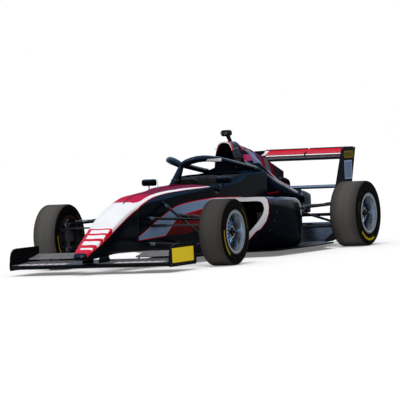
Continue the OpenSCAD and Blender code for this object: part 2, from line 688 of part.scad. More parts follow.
// Side pods: [along, foot, belly, belly height, top, top height, underside];
// widths of pod_half_w, heights of pod_h
pod_shares = [
  [0.00, 0.54, 1.005, 0.70, 0.985, 1.000, 0],
  [0.12, 0.70, 1.01, 0.66, 0.995, 0.985, 0],
  [pod_ahead / pod_l, 0.92, 0.98, 0.53, 0.950, 0.930, 0],
  [0.60, 0.80, 0.86, 0.54, 0.800, 0.880, 0.02],
  [0.80, 0.55, 0.60, 0.66, 0.545, 0.840, 0.34],
  [0.90, 0.45, 0.475, 0.76, 0.440, 0.825, 0.655],
  [1.00, 0.36, 0.380, 0.79, 0.355, 0.815, 0.665]];
pod_rows = smooth(pod_shares, 3);
pod_front_x = tub_end_x + pod_ahead;
function pod_ring(s, w) = let (x = pod_front_x - s[0] * pod_l, i = cover_half(x) + seat_gap + w,
    r = cover_round,
    low = tub_base + max(s[6], 0) * pod_h + w)
  at_x(x, rounded([[i, low, edge_round], [s[1] * pod_half_w - w, low, r],
    [s[2] * pod_half_w - w, s[3] * pod_h, belly_round], [s[4] * pod_half_w - w, s[5] * pod_h - w, r],
    [i, s[5] * pod_h - w, edge_round]]));
module sidepod() {
  color("#14161f") duct([for (s = pod_rows) pod_ring(s, 0)],
    [for (s = pod_rows) pod_ring(s, wall_t + (pod_lip - wall_t) * max(0, 1 - s[0] / pod_shares[1][0]))]);
}
module sidepod_left() sidepod();
module sidepod_right() mirror([0, 1, 0]) sidepod();

// Radiators in the ducts: [behind the inlet of pod_l, width of pod_half_w, height of pod_h]
radiator_shares = [0.28, 0.15, 0.6];
radiator_t_share = 4;
radiator_t = radiator_t_share * wall_t;
module radiators() {
  color("#55585c") pair()
    translate([pod_front_x - pod_l * radiator_shares[0], tub_half + wall_t + cover_round / 2,
      tub_base + wall_t + seat_gap])
      cube([radiator_t, pod_half_w * radiator_shares[1], pod_h * radiator_shares[2]]);
}

// Camera pod over the air inlet: [along from its front, size]
camera_shares = [[0, 0.62], [0.08, 0.9], [0.2, 1], [0.7, 1], [1, 0.8]];
// Its stalk, seen from the side: [along from camera_x of its length, up from the inlet to the pod's middle]
stalk_shares = [[0.30, 1], [0.80, 1], [1.34, 0], [0.94, 0]];
camera_at_shares = [1.38, 1.3];
camera_x = tub_end_x + camera_l * camera_at_shares[0];
camera_z = airbox_h + camera_h * camera_at_shares[1];
module camera_pod() {
  foot = airbox_h + seat_gap;
  color("#20242b") union() {
    loft([for (s = camera_shares) at_x(camera_x - camera_l * s[0], rounded(both_sides([for (k = [-1, 1])
      [camera_w / 2 * s[1], camera_z + k * camera_h / 2 * s[1], camera_h * s[1] * nose_round_share]])))]);
    across(2 * wall_t)
      polygon([for (s = stalk_shares) [camera_x - s[0] * camera_l, foot + s[1] * (camera_z - foot)]]);
  }
}

// Tube ring of the halo round the path point i
function halo_ring(i) = let (p = halo_path[i], w = path_way(halo_path, i), side = unit(cross(w, [0, 0, 1])),
    up = cross(side, w), k = len(halo_half) - 1,
    v = halo_tube / 2 * (1 + thick_share * pow(cos(90 * (i - k) / k), 3)), h = v * flat_share)
  [for (a = [0:30:330]) p + side * h * cos(a) + up * v * sin(a)];

// How much thicker the tube is in front, how much wider than high, and the pillar's top of its foot
thick_share = 0.3;
flat_share = 1.2;
pillar_top_share = 0.38;
module halo() {
  lean = [for (t = [0, 0.5, 1]) let (z = halo_foot_z + seat_gap + (halo_apex_z - halo_foot_z) * t,
      x = halo_foot_x + (halo_apex_x - halo_foot_x) * t,
      l = halo_foot_l / 2 * (1 - (1 - pillar_top_share) * t))
    [for (a = [345:-15:0]) [x + l * cos(a), halo_foot_w / 2 * sin(a), z]]];
  color("#101218") union() {
    loft([for (i = [0:len(halo_path) - 1]) halo_ring(i)]);
    loft(lean);
  }
}

// Mirror sections: [ahead of the glass in mirror heights, size]
mirror_shares = [[0.55, 0.5], [0.35, 0.9], [0, 1], [-0.4, 1]];
mirror_round_share = 0.33;
stalk_share = 0.8;
module mirrors() {
  function face(x, k) = [for (p = rounded([for (q = [[-1, -1], [1, -1], [1, 1], [-1, 1]])
    [q[0] * mirror_w / 2 * k, q[1] * mirror_h / 2 * k, mirror_h * mirror_round_share]]))
    mirror_at + [x, p[0], p[1]]];
  color("#101218") pair() union() {
    loft([for (s = mirror_shares) face(mirror_h * s[0], s[1])]);
    rod(mirror_pick + [0, seat_gap, 0], mirror_pick + [0, stalk_d, 0], stalk_d);
    rod(mirror_pick + [0, stalk_d / 2, 0], mirror_at - [0, 0, mirror_h / 2], stalk_d * stalk_share);
  }
}

// Head rest: [its underside, its height of body_h, inner half width of the outer, depth of rest_l]
rest_shares = [0.9, 0.2, 0.62, 0.3];
rest_l_share = 0.162;
rest_end_x = bulkhead_x - cockpit_shares[5][0] * tub_l + seat_gap;
rest_l = tub_l * rest_l_share;
rest_half = cockpit_shares[5][1] * tub_half - 2 * seat_gap;
module headrest() {
  in_half = rest_half * rest_shares[2];
  deep = rest_l * rest_shares[3];
  h = body_h * rest_shares[1];
  color("#1c1d21") translate([rest_end_x, 0, body_h * rest_shares[0]]) difference() {
    translate([0, -rest_half, 0]) cube([rest_l, 2 * rest_half, h]);
    translate([0, 0, -cut]) linear_extrude(h + 2 * cut) polygon(rounded([[deep, in_half, in_half],
      [deep, -in_half, in_half], [rest_l + cut, -in_half, seat_gap], [rest_l + cut, in_half, seat_gap]]));
  }
}

// Bucket seat: [x, z along the seat in shares of its length and height]
seat_shares = [[0, 0.12], [0.1, 0.03], [0.45, 0], [0.7, 0.22], [0.9, 0.7], [1, 1]];
// Its length of tub_l, height of body_h, half width of tub_w / 2, raised edge of that, wall of wall_t
seat_size_shares = [0.286, 0.62, 0.56, 0.42, 1.4];
// Its place ahead of the head rest's rear end, of its length
seat_at_share = 0.0335;
seat_l = tub_l * seat_size_shares[0];
seat_h = body_h * seat_size_shares[1];
seat_half = tub_half * seat_size_shares[2];
seat_wing = seat_half * seat_size_shares[3];
seat_wall = wall_t * seat_size_shares[4];
seat_x = rest_end_x + seat_l * (1 + seat_at_share);
seat_z = cockpit_shares[5][2] * body_h + 2 * seat_gap + seat_wall;
seat_line = [for (s = seat_shares) [seat_x - s[0] * seat_l, 0, seat_z + s[1] * seat_h]];
function seat_ring(i, w) = let (d = path_way(seat_line, i), up = cross(d, [0, 1, 0]) * -1,
    o = rounded_open([[seat_half - w, seat_wing, 0], [seat_half - w, w - seat_wall, seat_wing],
      [-seat_half + w, w - seat_wall, seat_wing], [-seat_half + w, seat_wing, 0]]))
  [for (p = o) seat_line[i] + [0, p[0], 0] + up * p[1]];
module seat() {
  n = len(seat_line) - 1;
  color("#24262b") shell([for (i = [0:n]) reversed(seat_ring(i, 0))],
    [for (i = [0:n]) reversed(seat_ring(i, seat_wall))]);
}

// Steering column on the cockpit's front wall, and its wheel
column_share = 0.9;
lip_x = bulkhead_x - cockpit_shares[3][0] * tub_l - seat_gap;
column_z = body_h * column_share;
wheel_at = [lip_x - wheel_back, 0, column_z + wheel_back * tan(column_tilt)];
wheel_seat_shares = [0.8, 0.85];
module on_column() {
  translate(wheel_at) rotate([0, column_tilt - 90, 0]) children();
}
module steering_column() {
  color("#2a2c30") difference() {
    union() {
      translate([lip_x - wall_t, -column_r * 3, column_z - column_r * 2])
        cube([wall_t, column_r * 6, column_r * 4]);
      on_column() translate([0, 0, -wheel_back / cos(column_tilt)])
        cylinder(r = column_r * 3 / 2, h = wheel_back / cos(column_tilt) - seat_gap);
      on_column() translate([0, 0, -wheel_back / 2])
        cylinder(r = column_r, h = wheel_back / 2 + wheel_plate_t * wheel_seat_shares[0]);
    }
    translate([lip_x, -tub_half, 0]) cube([tub_w, tub_w, airbox_h]);
  }
}
// Steering wheel outline: [side, up, round] as shares of its width
wheel_shares = [[-0.30, -0.33, 0.1], [0.30, -0.33, 0.1], [0.50, -0.12, 0.12], [0.50, 0.16, 0.12],
  [0.36, 0.30, 0.1], [-0.36, 0.30, 0.1], [-0.50, 0.16, 0.12], [-0.50, -0.12, 0.12]];
grip_shares = [[0.22, -0.12, 0.05], [0.36, -0.08, 0.05], [0.36, 0.12, 0.05], [0.24, 0.16, 0.05]];
module steering_wheel() {
  w = steer_wheel_w;
  color("#1b1c20") on_column() difference() {
    linear_extrude(wheel_plate_t) rotate(-90) polygon(rounded([for (s = wheel_shares) s * w]));
    for (k = [0, 1]) mirror([0, k, 0]) translate([0, 0, -cut])
      linear_extrude(wheel_plate_t + 2 * cut) rotate(-90) polygon(rounded([for (s = grip_shares) s * w]));
    translate([0, 0, -cut]) cylinder(r = column_r + seat_gap, h = wheel_plate_t * wheel_seat_shares[1] + cut);
  }
}

// Drive: engine and gearbox fill the length between the survival cell and the gearbox's rear end
engine_share = 0.486;
bell_share = 0.55;
// Engine's width of tub_w and top of body_h, gearbox's top of airbox_h, its rear end's top and underside
drive_shares = [0.62, 0.84, 0.385, 0.97, 0.6];
gear_end_x = x_rear - gear_behind;
engine_l = (tub_end_x - gear_end_x) * engine_share;
engine_w = tub_w * drive_shares[0];
engine_top = body_h * drive_shares[1];
gear_front_x = tub_end_x - engine_l - 2 * seat_gap;
gear_ahead = gear_front_x - x_rear;
bell_end_x = x_rear + gear_ahead * bell_share;
gear_low = floor_top + gear_rise;
gear_top = airbox_h * drive_shares[2];
module engine() {
  color("#5a5d62") translate([gear_front_x + seat_gap, -engine_w / 2, floor_top + seat_gap])
    cube([engine_l, engine_w, engine_top - floor_top]);
}

// Rods to the gearbox: [x of its length from the axle, 1 on the bell, height of the tyre's diameter,
// 1 upper or -1 lower]
rear_leg_shares = [[0.733, 1, 0.607, 1], [-0.588, 0, 0.615, 1], [0.733, 1, 0.33, -1], [-0.588, 0, 0.33, -1]];
rear_push_shares = [0.28, 0, 0.63];
function gear_pick(s) = [x_rear + s[0] * (s[0] > 0 ? gear_ahead : gear_behind),
  (s[1] > 0 ? bell_half_w : gear_half_w) + lug_out, s[2] * rear_tyre_d];
rear_push_top = gear_pick(rear_push_shares);
rear_push_low = rear_ball_low - [0, push_in_share * ring_h, 0];
function rear_ball(k) = k > 0 ? rear_ball_top : rear_ball_low;
module gearbox() {
  color("#6f7276") union() {
    across(2 * gear_half_w) polygon([[gear_front_x, gear_low], [gear_front_x, gear_top], [x_rear, gear_top],
      [gear_end_x, gear_top * drive_shares[3]], [gear_end_x, gear_top * drive_shares[4]], [x_rear, gear_low]]);
    across(2 * bell_half_w)
      polygon([[gear_front_x, gear_low], [gear_front_x, gear_top], [bell_end_x, gear_top],
      [bell_end_x, gear_low]]);
    translate([x_rear, -gear_out, rear_r]) rotate([-90, 0, 0]) cylinder(r = housing_r, h = 2 * gear_out);
    pair() {
      for (s = rear_leg_shares) lug(gear_pick(s), rear_ball(s[3]));
      lug(rear_push_top, rear_push_low);
    }
  }
}

pipe_in_share = 0.88;
pipe_z = gear_top + pipe_r + run_clear;
module exhaust() {
  color("#8f8a83") difference() {
    translate([box_end_x - pipe_r, 0, pipe_z])
      rotate([0, 90, 0]) cylinder(r = pipe_r, h = gear_front_x - box_end_x + pipe_r);
    translate([box_end_x - pipe_r - cut, 0, pipe_z])
      rotate([0, 90, 0]) cylinder(r = pipe_r * pipe_in_share, h = gear_front_x - box_end_x);
  }
}

// Rear crash structure with tow eye, wing foot and exhaust outlet: [along, half width, underside, top]
// as shares of its length, of tub_w / 2 and of airbox_h
box_shares = [
  [0.00, 0.300, 0.300, 0.524],
  [0.50, 0.265, 0.325, 0.502],
  [0.80, 0.225, 0.345, 0.482],
  [0.94, 0.195, 0.352, 0.474],
  [1.00, 0.160, 0.360, 0.465]];
box_end_share = 0.79;
box_end_x = x_rear - box_end_share * rear_overhang;
box_front_x = gear_end_x - seat_gap;
box_l = box_front_x - box_end_x;
box_round_share = 0.4;
box_clear = run_clear / 2;
// Tow eye's hole of axle_r, its place from the rear of box_l, below the structure in hole radii, its wall
tow_shares = [0.8, 0.35, 2.4, 0.9];
tow_r = tow_shares[0] * axle_r;
tow_out = tow_r * (1 + tow_shares[3]);
tow_t_share = 1.5;
eye_x = box_end_x + tow_shares[1] * box_l;
eye_z = box_shares[1][2] * airbox_h - tow_shares[2] * tow_r;
// Beam wing: height of rear_plate_top, place of rear_overhang, chord of rear_chord, foot below of its chord
beam_shares = [0.6, 0.45, 0.8, 0.1];
beam_z = beam_shares[0] * rear_plate_top;
beam_x = x_rear - beam_shares[1] * rear_overhang;
beam_chord = beam_shares[2] * rear_chord;
beam_foot_z = beam_z - beam_shares[3] * beam_chord;
pipe_low = pipe_z - pipe_r - 2 * box_clear;
lamp_low = pipe_low - 2 * lamp_h;
lamp_block_share = 0.2;
// Feet of the beam wing on the crash structure: [front, rear] of beam_chord
foot_shares = [0.25, 0.75];
module crash_box() {
  color("#1a1b1f") difference() {
    union() {
      loft([for (s = box_shares) let (w = s[1] * tub_half, r = box_round_share * w)
        at_x(box_front_x - s[0] * box_l,
          rounded(both_sides([[w, s[2] * airbox_h, r], [w, s[3] * airbox_h, r]])))]);
      across(wall_t * tow_t_share) polygon([[eye_x + 3 * tow_r, pipe_low], [eye_x + 2 * tow_r, eye_z],
        [eye_x, eye_z - tow_out], [eye_x - tow_out, eye_z], [eye_x - tow_out, pipe_low]]);
      translate([box_end_x, -lamp_w / 2, lamp_low]) cube([box_l * lamp_block_share, lamp_w, 2 * lamp_h]);
      across(plate_t * 2) polygon([[beam_x - beam_chord * foot_shares[0], pipe_z + pipe_r + box_clear],
        [beam_x - beam_chord * foot_shares[0], beam_foot_z],
        [beam_x - beam_chord * foot_shares[1], beam_foot_z],
        [beam_x - beam_chord * foot_shares[1], pipe_z + pipe_r + box_clear]]);
    }
    translate([eye_x, tub_half, eye_z]) rotate([90, 0, 0]) cylinder(r = tow_r, h = tub_w);
    translate([box_end_x - cut, 0, pipe_z])
      rotate([0, 90, 0]) cylinder(r = pipe_r + box_clear, h = box_l + 2 * cut);
  }
}
module rain_light() {
  color("#c01818") translate([box_end_x - seat_gap - plate_t, -lamp_w / 2, lamp_low])
    cube([plate_t, lamp_w, lamp_h]);
}

// Rear wing
rear_angle = 7;
rear_flap_angle = 23;
// Leading edge: [behind the axle of rear_overhang, height of rear_plate_top]
rear_lead_shares = [0.545, 0.905];
// Flap: [behind the leading edge, over it, chord] of rear_chord
rear_flap_shares = [0.97, 0.175, 0.5];
rear_lead_x = x_rear - rear_lead_shares[0] * rear_overhang;
rear_lead_z = rear_lead_shares[1] * rear_plate_top;
rear_flap_x = rear_lead_x - rear_flap_shares[0] * rear_chord;
rear_flap_z = rear_lead_z + rear_flap_shares[1] * rear_chord;
rear_flap_chord = rear_flap_shares[2] * rear_chord;
rear_thick_share = 0.12;
rear_camber_share = 0.08;
module rear_wing() {
  color("#c01a22") translate([rear_lead_x, 0, rear_lead_z])
    across(rear_span) rotate(-rear_angle)
      polygon(wing_points(rear_chord, rear_thick_share, rear_camber_share));
}
module rear_flap() {
  color("#c01a22") translate([rear_flap_x, 0, rear_flap_z])
    across(rear_span) rotate(-rear_flap_angle)
      polygon(wing_points(rear_flap_chord, rear_thick_share, rear_camber_share));
}
// Rear end plate: [along from the rear axle of rear_overhang, height of rear_plate_top, round]
rear_plate_shares = [[0.38, 0.52, 0.03], [0.33, 0.58, 0.03], [0.59, 1, 0.03], [1, 1, 0.002],
  [0.83, 0.60, 0.03], [0.70, 0.52, 0.03]];
module rear_endplates() {
  color("#15171c") pair() translate([x_rear, (rear_span + plate_t) / 2, 0])
    across(plate_t) polygon(rounded([for (s = rear_plate_shares)
      [-s[0] * rear_overhang, s[1] * rear_plate_top, s[2] * rear_plate_top]]));
}
module beam_wing() {
  color("#1a1b1f") union() {
    translate([beam_x, 0, beam_z]) across(rear_span) rotate(-beam_angle)
      polygon(wing_points(beam_chord, rear_thick_share, front_camber_share));
    across(plate_t * 2) polygon([[beam_x - beam_chord * foot_shares[0], beam_foot_z + seat_gap],
      [beam_x - beam_chord * foot_shares[0], beam_z], [beam_x - beam_chord * foot_shares[1], beam_z],
      [beam_x - beam_chord * foot_shares[1], beam_foot_z + seat_gap]]);
  }
}
beam_angle = 6;

// Suspension
module ring_at(p) {
  translate(p - [0, 0, ring_h / 2]) cylinder(r = stud_r + ring_wall, h = ring_h);
}
module ring_bore(p) {
  translate(p - [0, 0, ring_h]) cylinder(r = stud_r + seat_gap, h = 2 * ring_h);
}
module wishbones(legs, b, push) {
  difference() {
    union() {
      for (p = legs) rod(p + unit(b - p) * seat_gap, b, rod_d);
      if (push) rod(push[0] + unit(push[1] - push[0]) * seat_gap, push[1], rod_d);
      ring_at(b);
    }
    ring_bore(b);
  }
}
module front_wishbones() {
  color("#17181b") pair() for (k = [1, -1])
    wishbones([for (s = front_leg_shares) if (s[2] == k) tub_pick(s)], ball(k),
      k < 0 ? [push_top, push_low] : false);
}
module rear_wishbones() {
  color("#17181b") pair() for (k = [1, -1])
    wishbones([for (s = rear_leg_shares) if (s[3] == k) gear_pick(s)], rear_ball(k),
      k < 0 ? [rear_push_top, rear_push_low] : false);
}

// Column, housing and studs of an upright at the steering axis b, wheel axle height z
module upright_core(b, z) {
  half = ball_rise - ring_h / 2 - seat_gap;
  translate([b[0] - upright_w / 2, b[1] - upright_d / 2, z - half]) cube([upright_w, upright_d, 2 * half]);
  translate([b[0], b[1], z - ball_rise - ring_h / 2]) cylinder(r = stud_r, h = 2 * ball_rise + ring_h);
  translate([b[0], b[1] - upright_d / 2, z]) rotate([-90, 0, 0]) cylinder(r = housing_r, h = upright_d);
}

// Brake caliper round the disc, whose middle is d outboard of the steering axis
// Its outer and slot radius, half height and inner radius of disc_r, its root in the housing of housing_r
caliper_shares = [1.08, 1.03, 0.33, 0.62, 0.6];
module caliper(b, z, d) {
  gap = (disc_t + run_clear) / 2;
  reach = disc_r * caliper_shares[0];
  half = disc_r * caliper_shares[2];
  difference() {
    translate([b[0] - reach, b[1], z - half])
      cube([reach - housing_r * caliper_shares[4], d + gap + run_clear, 2 * half]);
    translate([b[0] - disc_r * caliper_shares[1], b[1] + d - gap, z - disc_r])
      cube([2 * disc_r, 2 * gap, 2 * disc_r]);
    translate([b[0] - disc_r * caliper_shares[3], b[1] + upright_d / 2, z - disc_r])
      cube([disc_r, disc_r, 2 * disc_r]);
  }
}

rim_half_f = front_tyre_w / 2 - tyre_bulge;
rim_half_r = rear_tyre_w / 2 - tyre_bulge;
face_f = rim_half_f - front_inset - centre_t;
face_r = rim_half_r - rear_inset - centre_t;
front_disc_out = kingpin_in + face_f - hub_flange_t - disc_t;
rear_disc_out = kingpin_in + face_r - hub_flange_t - disc_t;

module upright_fl() {
  b = ball_low;
  color("#3b3d41") union() {
    upright_core(b, front_r);
    translate([b[0], b[1], front_r]) rotate([-90, 0, 0])
      cylinder(r = axle_r, h = kingpin_in + face_f - hub_flange_t - run_clear);
    caliper(b, front_r, front_disc_out);
    translate([b[0], b[1] - arm_t, arm_z - arm_t / 2]) cube([arm_l + arm_t, 2 * arm_t, arm_t]);
    translate([rack_x, b[1], arm_z]) cylinder(r = arm_pin_r, h = arm_t / 2 + eye_t + arm_pin_r);
  }
}
module upright_fr() mirror([0, 1, 0]) upright_fl();
module rear_uprights() {
  b = rear_ball_low;
  color("#3b3d41") pair() difference() {
    union() {
      upright_core(b, rear_r);
      caliper(b, rear_r, rear_disc_out);
    }
    translate([b[0], b[1] - upright_d, rear_r])
      rotate([-90, 0, 0]) cylinder(r = axle_r + seat_gap, h = 2 * upright_d);
  }
}

// Most that a tie rod's radius takes of its eye's thickness
tie_share = 0.48;
module steering_rack() {
  half = tub_side(rack_x, rack_z) + 2 * lug_in;
  color("#8b8f94") difference() {
    union() {
      translate([rack_x, -half, rack_z]) rotate([-90, 0, 0]) cylinder(r = rack_r, h = 2 * half);
      translate([rack_x, -kingpin_y, rack_z])
        rotate([-90, 0, 0]) cylinder(r = min(tie_r, eye_t * tie_share), h = 2 * kingpin_y);
      pair() translate([rack_x, kingpin_y, rack_z - eye_t / 2])
        cylinder(r = arm_pin_r + eye_play + eye_wall, h = eye_t);
    }
    pair() translate([rack_x, kingpin_y, rack_z - eye_t]) cylinder(r = arm_pin_r + eye_play, h = 2 * eye_t);
  }
}

// Wheels, drawn with the axle along Z and the outside up
module on_axle(x, y, r) {
  translate([x, y, r]) rotate([-90, 0, 0]) children();
}

module tyre(d, w) {
  seat = w / 2 - tyre_bulge - barrel_t - seat_gap;
  top = bead_r + flange_h + 2 * seat_gap;
  half = [[bead_r, seat, seat_gap], [top, seat, seat_gap],
    [(top + d / 2) / 2, w / 2, (d / 2 - top) * wall_round_share],
    [d / 2 - shoulder_share * d, w * tread_shares[0], shoulder_share * d],
    [d / 2, w * tread_shares[1], shoulder_share * d]];
  color("#1a1917") rotate_extrude($fn = tyre_steps)
    polygon(rounded(concat(half, [for (i = [4:-1:0]) [half[i][0], -half[i][1], half[i][2]]])));
}
// Shoulder's round of the diameter, wall's round of its height, half width under and on the tread
shoulder_share = 0.02;
wall_round_share = 0.45;
tread_shares = [0.475, 0.43];
tyre_steps = 64;

// Spoke's root radius of nut_r, its inner edge of centre_t and its outer edge of nut_recess;
// the recess round the nut of nut_r, and the nut's height of nut_recess
spoke_root_shares = [1.45, 0.55, 0.3];
recess_share = 1.35;
nut_share = 1.5;
module rim(w, inset, face) {
  h = w / 2 - tyre_bulge;
  ro = bead_r - seat_gap;
  ri = ro - barrel_t;
  fr = bead_r + flange_h;
  z1 = h - inset;
  foot = z1 - spoke_drop;
  root = nut_r * spoke_root_shares[0];
  color("#b8c4d2") union() {
    rotate_extrude($fn = tyre_steps) polygon([[ri, -h], [fr, -h], [fr, -h + barrel_t], [ro, -h + barrel_t],
      [ro, h - barrel_t], [fr, h - barrel_t], [fr, h], [ri, h]]);
    for (i = [0:spoke_count - 1]) rotate(i * 360 / spoke_count)
      translate([0, spoke_w / 2, 0]) rotate([90, 0, 0]) linear_extrude(spoke_w)
        polygon([[root, face + centre_t * spoke_root_shares[1]], [ri + barrel_t / 2, foot - spoke_d],
          [ri + barrel_t / 2, foot], [root, z1 - nut_recess * spoke_root_shares[2]]]);
    difference() {
      translate([0, 0, face]) cylinder(r = centre_r, h = centre_t);
      translate([0, 0, z1 - nut_recess]) cylinder(r = nut_r * recess_share, h = nut_recess + cut);
    }
    translate([0, 0, z1 - nut_recess]) cylinder(r = nut_r, h = nut_recess * nut_share, $fn = 6);
  }
}

module hub(face, low, bore) {
  color("#77797c") difference() {
    union() {
      translate([0, 0, face - hub_flange_t]) cylinder(r = hub_flange_r, h = hub_flange_t);
      translate([0, 0, low]) cylinder(r = hub_r, h = face - low);
      translate([0, 0, face - hub_flange_t - disc_t * 3 / 2]) cylinder(r = disc_r, h = disc_t);
    }
    if (bore) translate([0, 0, low - cut])
      cylinder(r = axle_r + seat_gap, h = face - hub_flange_t - low + cut);
  }
}

module tyre_fl() on_axle(x_front, front_w_y, front_r) tyre(front_tyre_d, front_tyre_w);
module tyre_fr() mirror([0, 1, 0]) tyre_fl();
module tyre_rl() on_axle(x_rear, rear_w_y, rear_r) tyre(rear_tyre_d, rear_tyre_w);
module tyre_rr() mirror([0, 1, 0]) tyre_rl();
module rim_fl() on_axle(x_front, front_w_y, front_r) rim(front_tyre_w, front_inset, face_f);
module rim_fr() mirror([0, 1, 0]) rim_fl();
module rim_rl() on_axle(x_rear, rear_w_y, rear_r) rim(rear_tyre_w, rear_inset, face_r);
module rim_rr() mirror([0, 1, 0]) rim_rl();
hub_low = upright_d / 2 - kingpin_in + run_clear;
module hub_fl() on_axle(x_front, front_w_y, front_r) hub(face_f, hub_low, true);
module hub_fr() mirror([0, 1, 0]) hub_fl();
module hub_rl() color("#77797c") on_axle(x_rear, rear_w_y, rear_r) union() {
  hub(face_r, hub_low, false);
  translate([0, 0, -kingpin_in - upright_d]) cylinder(r = axle_r, h = kingpin_in + upright_d);
  translate([0, 0, gear_out + seat_gap - rear_w_y])
    cylinder(r = shaft_r, h = rear_w_y - gear_out - seat_gap);
  translate([0, 0, -kingpin_in - upright_d * 2]) cylinder(r = boot_r, h = upright_d);
  translate([0, 0, -rear_w_y + gear_out + seat_gap]) cylinder(r = boot_r, h = upright_d);
}
module hub_rr() mirror([0, 1, 0]) hub_rl();

monocoque();
nose_cone();
front_wing();
front_flaps();
front_endplates();
floor_pan();
skid_plank();
diffuser();
sidepod_left();
sidepod_right();
radiators();
engine_cover();
airbox();
camera_pod();
halo();
mirrors();
headrest();
seat();
steering_column();
engine();
gearbox();
exhaust();
crash_box();
rain_light();
rear_wing();
rear_flap();
rear_endplates();
beam_wing();
front_wishbones();
rear_wishbones();
rear_uprights();
steering_rack();
steering_wheel();
upright_fl();
upright_fr();
rim_fl();
rim_fr();
rim_rl();
rim_rr();
tyre_fl();
tyre_fr();
tyre_rl();
tyre_rr();
hub_fl();
hub_fr();
hub_rl();
hub_rr();
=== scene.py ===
# %% [markdown]
# # An open wheel racing car, dressed in Blender
# The car's solids come from CAD as a fixed frame, in metres, and this lesson gives them their looks.
# Every finish is mixed from nodes, so that it needs no picture files and stays sharp at any distance.
# The pieces that CAD leaves plain, such as pads, belts, buttons and bolts, are built here in mesh code.

# %% Load the fixed frame
import math
import bmesh
import bpy
from mathutils import Matrix, Quaternion, Vector
from mathutils.bvhtree import BVHTree


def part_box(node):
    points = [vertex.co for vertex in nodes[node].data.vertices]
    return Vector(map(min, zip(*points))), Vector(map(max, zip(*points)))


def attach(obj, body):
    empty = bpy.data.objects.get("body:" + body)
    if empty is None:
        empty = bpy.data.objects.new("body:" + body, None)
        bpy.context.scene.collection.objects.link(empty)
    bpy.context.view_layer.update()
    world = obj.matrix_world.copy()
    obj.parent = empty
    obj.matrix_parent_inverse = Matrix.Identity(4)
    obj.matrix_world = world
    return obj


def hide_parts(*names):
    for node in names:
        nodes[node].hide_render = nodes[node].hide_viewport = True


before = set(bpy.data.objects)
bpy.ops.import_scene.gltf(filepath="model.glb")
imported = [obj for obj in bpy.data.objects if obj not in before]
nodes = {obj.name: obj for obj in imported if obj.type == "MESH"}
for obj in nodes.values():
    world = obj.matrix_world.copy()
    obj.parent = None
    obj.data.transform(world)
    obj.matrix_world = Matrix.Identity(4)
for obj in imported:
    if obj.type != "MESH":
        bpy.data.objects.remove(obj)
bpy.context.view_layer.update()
scene = bpy.context.scene
scene.view_settings.view_transform = "Standard"

# %% [markdown]
# ## The camera
# The photograph was taken from far away with a long lens, low down and in front of the car's left side.
# Such a lens flattens depth, so the camera stands about 27 m off, with a lens of nearly 290 mm.
# The camera was held a little tilted: the roll turns the horizon by under three degrees.
# A tracking constraint would keep the camera level, so its axes are worked out as vectors instead.

# %% Place the camera
LOOK_AT, AWAY = Vector((-0.185, 0.0, 0.3)), 27.578
AROUND, ABOVE, ROLL = math.radians(25.9), math.radians(1.94), math.radians(2.74)
PICTURE_SIDE, FOCAL_PIXELS = 400, 3215.5
AIM_PIXELS_ACROSS, AIM_PIXELS_UP = -13.5, 22.3
SENSOR, FAR_END = 36.0, 200.0


def camera_axes(forward, roll):
    """Right, up and back of a camera that looks along forward, turned by roll."""
    right = forward.cross(Vector((0, 0, 1))).normalized()
    up = right.cross(forward)
    rolled_right = right * math.cos(roll) - up * math.sin(roll)
    rolled_up = right * math.sin(roll) + up * math.cos(roll)
    return rolled_right, rolled_up, -forward


level_share = math.cos(ABOVE)
toward = Vector((level_share * math.cos(AROUND), level_share * math.sin(AROUND), math.sin(ABOVE)))
eye = LOOK_AT + toward * AWAY
right, up, back = camera_axes(-toward, ROLL)
aim = -back + right * (AIM_PIXELS_ACROSS / FOCAL_PIXELS) + up * (AIM_PIXELS_UP / FOCAL_PIXELS)
lens = bpy.data.cameras.new("long_lens")
lens.sensor_width = SENSOR
lens.lens = SENSOR * FOCAL_PIXELS / PICTURE_SIDE
lens.clip_end = FAR_END
camera = bpy.data.objects.new("trackside_camera", lens)
camera.matrix_world = Matrix(camera_axes(aim.normalized(), ROLL)).transposed().to_4x4()
camera.location = eye
scene.collection.objects.link(camera)
scene.camera = camera
print("camera:", [round(v, 3) for v in eye], "lens", round(lens.lens, 1), "mm")

# %% [markdown]
# ## Floor and light
# Outdoors, a car's upper faces mirror the sky and its flanks mirror the pale ground.
# A dome that is white at the horizon and pale blue overhead gives that gloss without any picture.
# A broad, soft lamp adds shape. Lamp and dome together come to about one, so paint renders as written.

# %% Set the sky and the lamp
SKY_LIGHT, LAMP_LIGHT = 0.5, 0.62
SKY_STOPS = [(0.06, (1.0, 1.0, 1.0, 1.0)), (0.4, (0.4, 0.58, 0.9, 1.0))]
LAMP_FROM, LAMP_SPREAD = Vector((1.0, 0.25, 1.75)), math.radians(38)


def link(tree, source, target):
    """Joins two sockets, or sets a plain value on the second."""
    if hasattr(source, "is_linked"):
        tree.links.new(source, target)
    else:
        target.default_value = source


def add_node(tree, kind, *values, **settings):
    """A node with its settings, and its first inputs joined or set in order."""
    made = tree.nodes.new(kind)
    for name, value in settings.items():
        setattr(made, name, value)
    for value, socket in zip(values, made.inputs):
        if value is not None:
            link(tree, value, socket)
    return made


def seen_or_mirrored(tree):
    """1 for what the camera sees straight, in a mirror or through glass, and 0 for light."""
    path = add_node(tree, "ShaderNodeLightPath").outputs
    total = path["Is Camera Ray"]
    for name in ("Is Glossy Ray", "Is Transmission Ray"):
        total = add_node(tree, "ShaderNodeMath", total, path[name], operation="MAXIMUM").outputs[0]
    return total


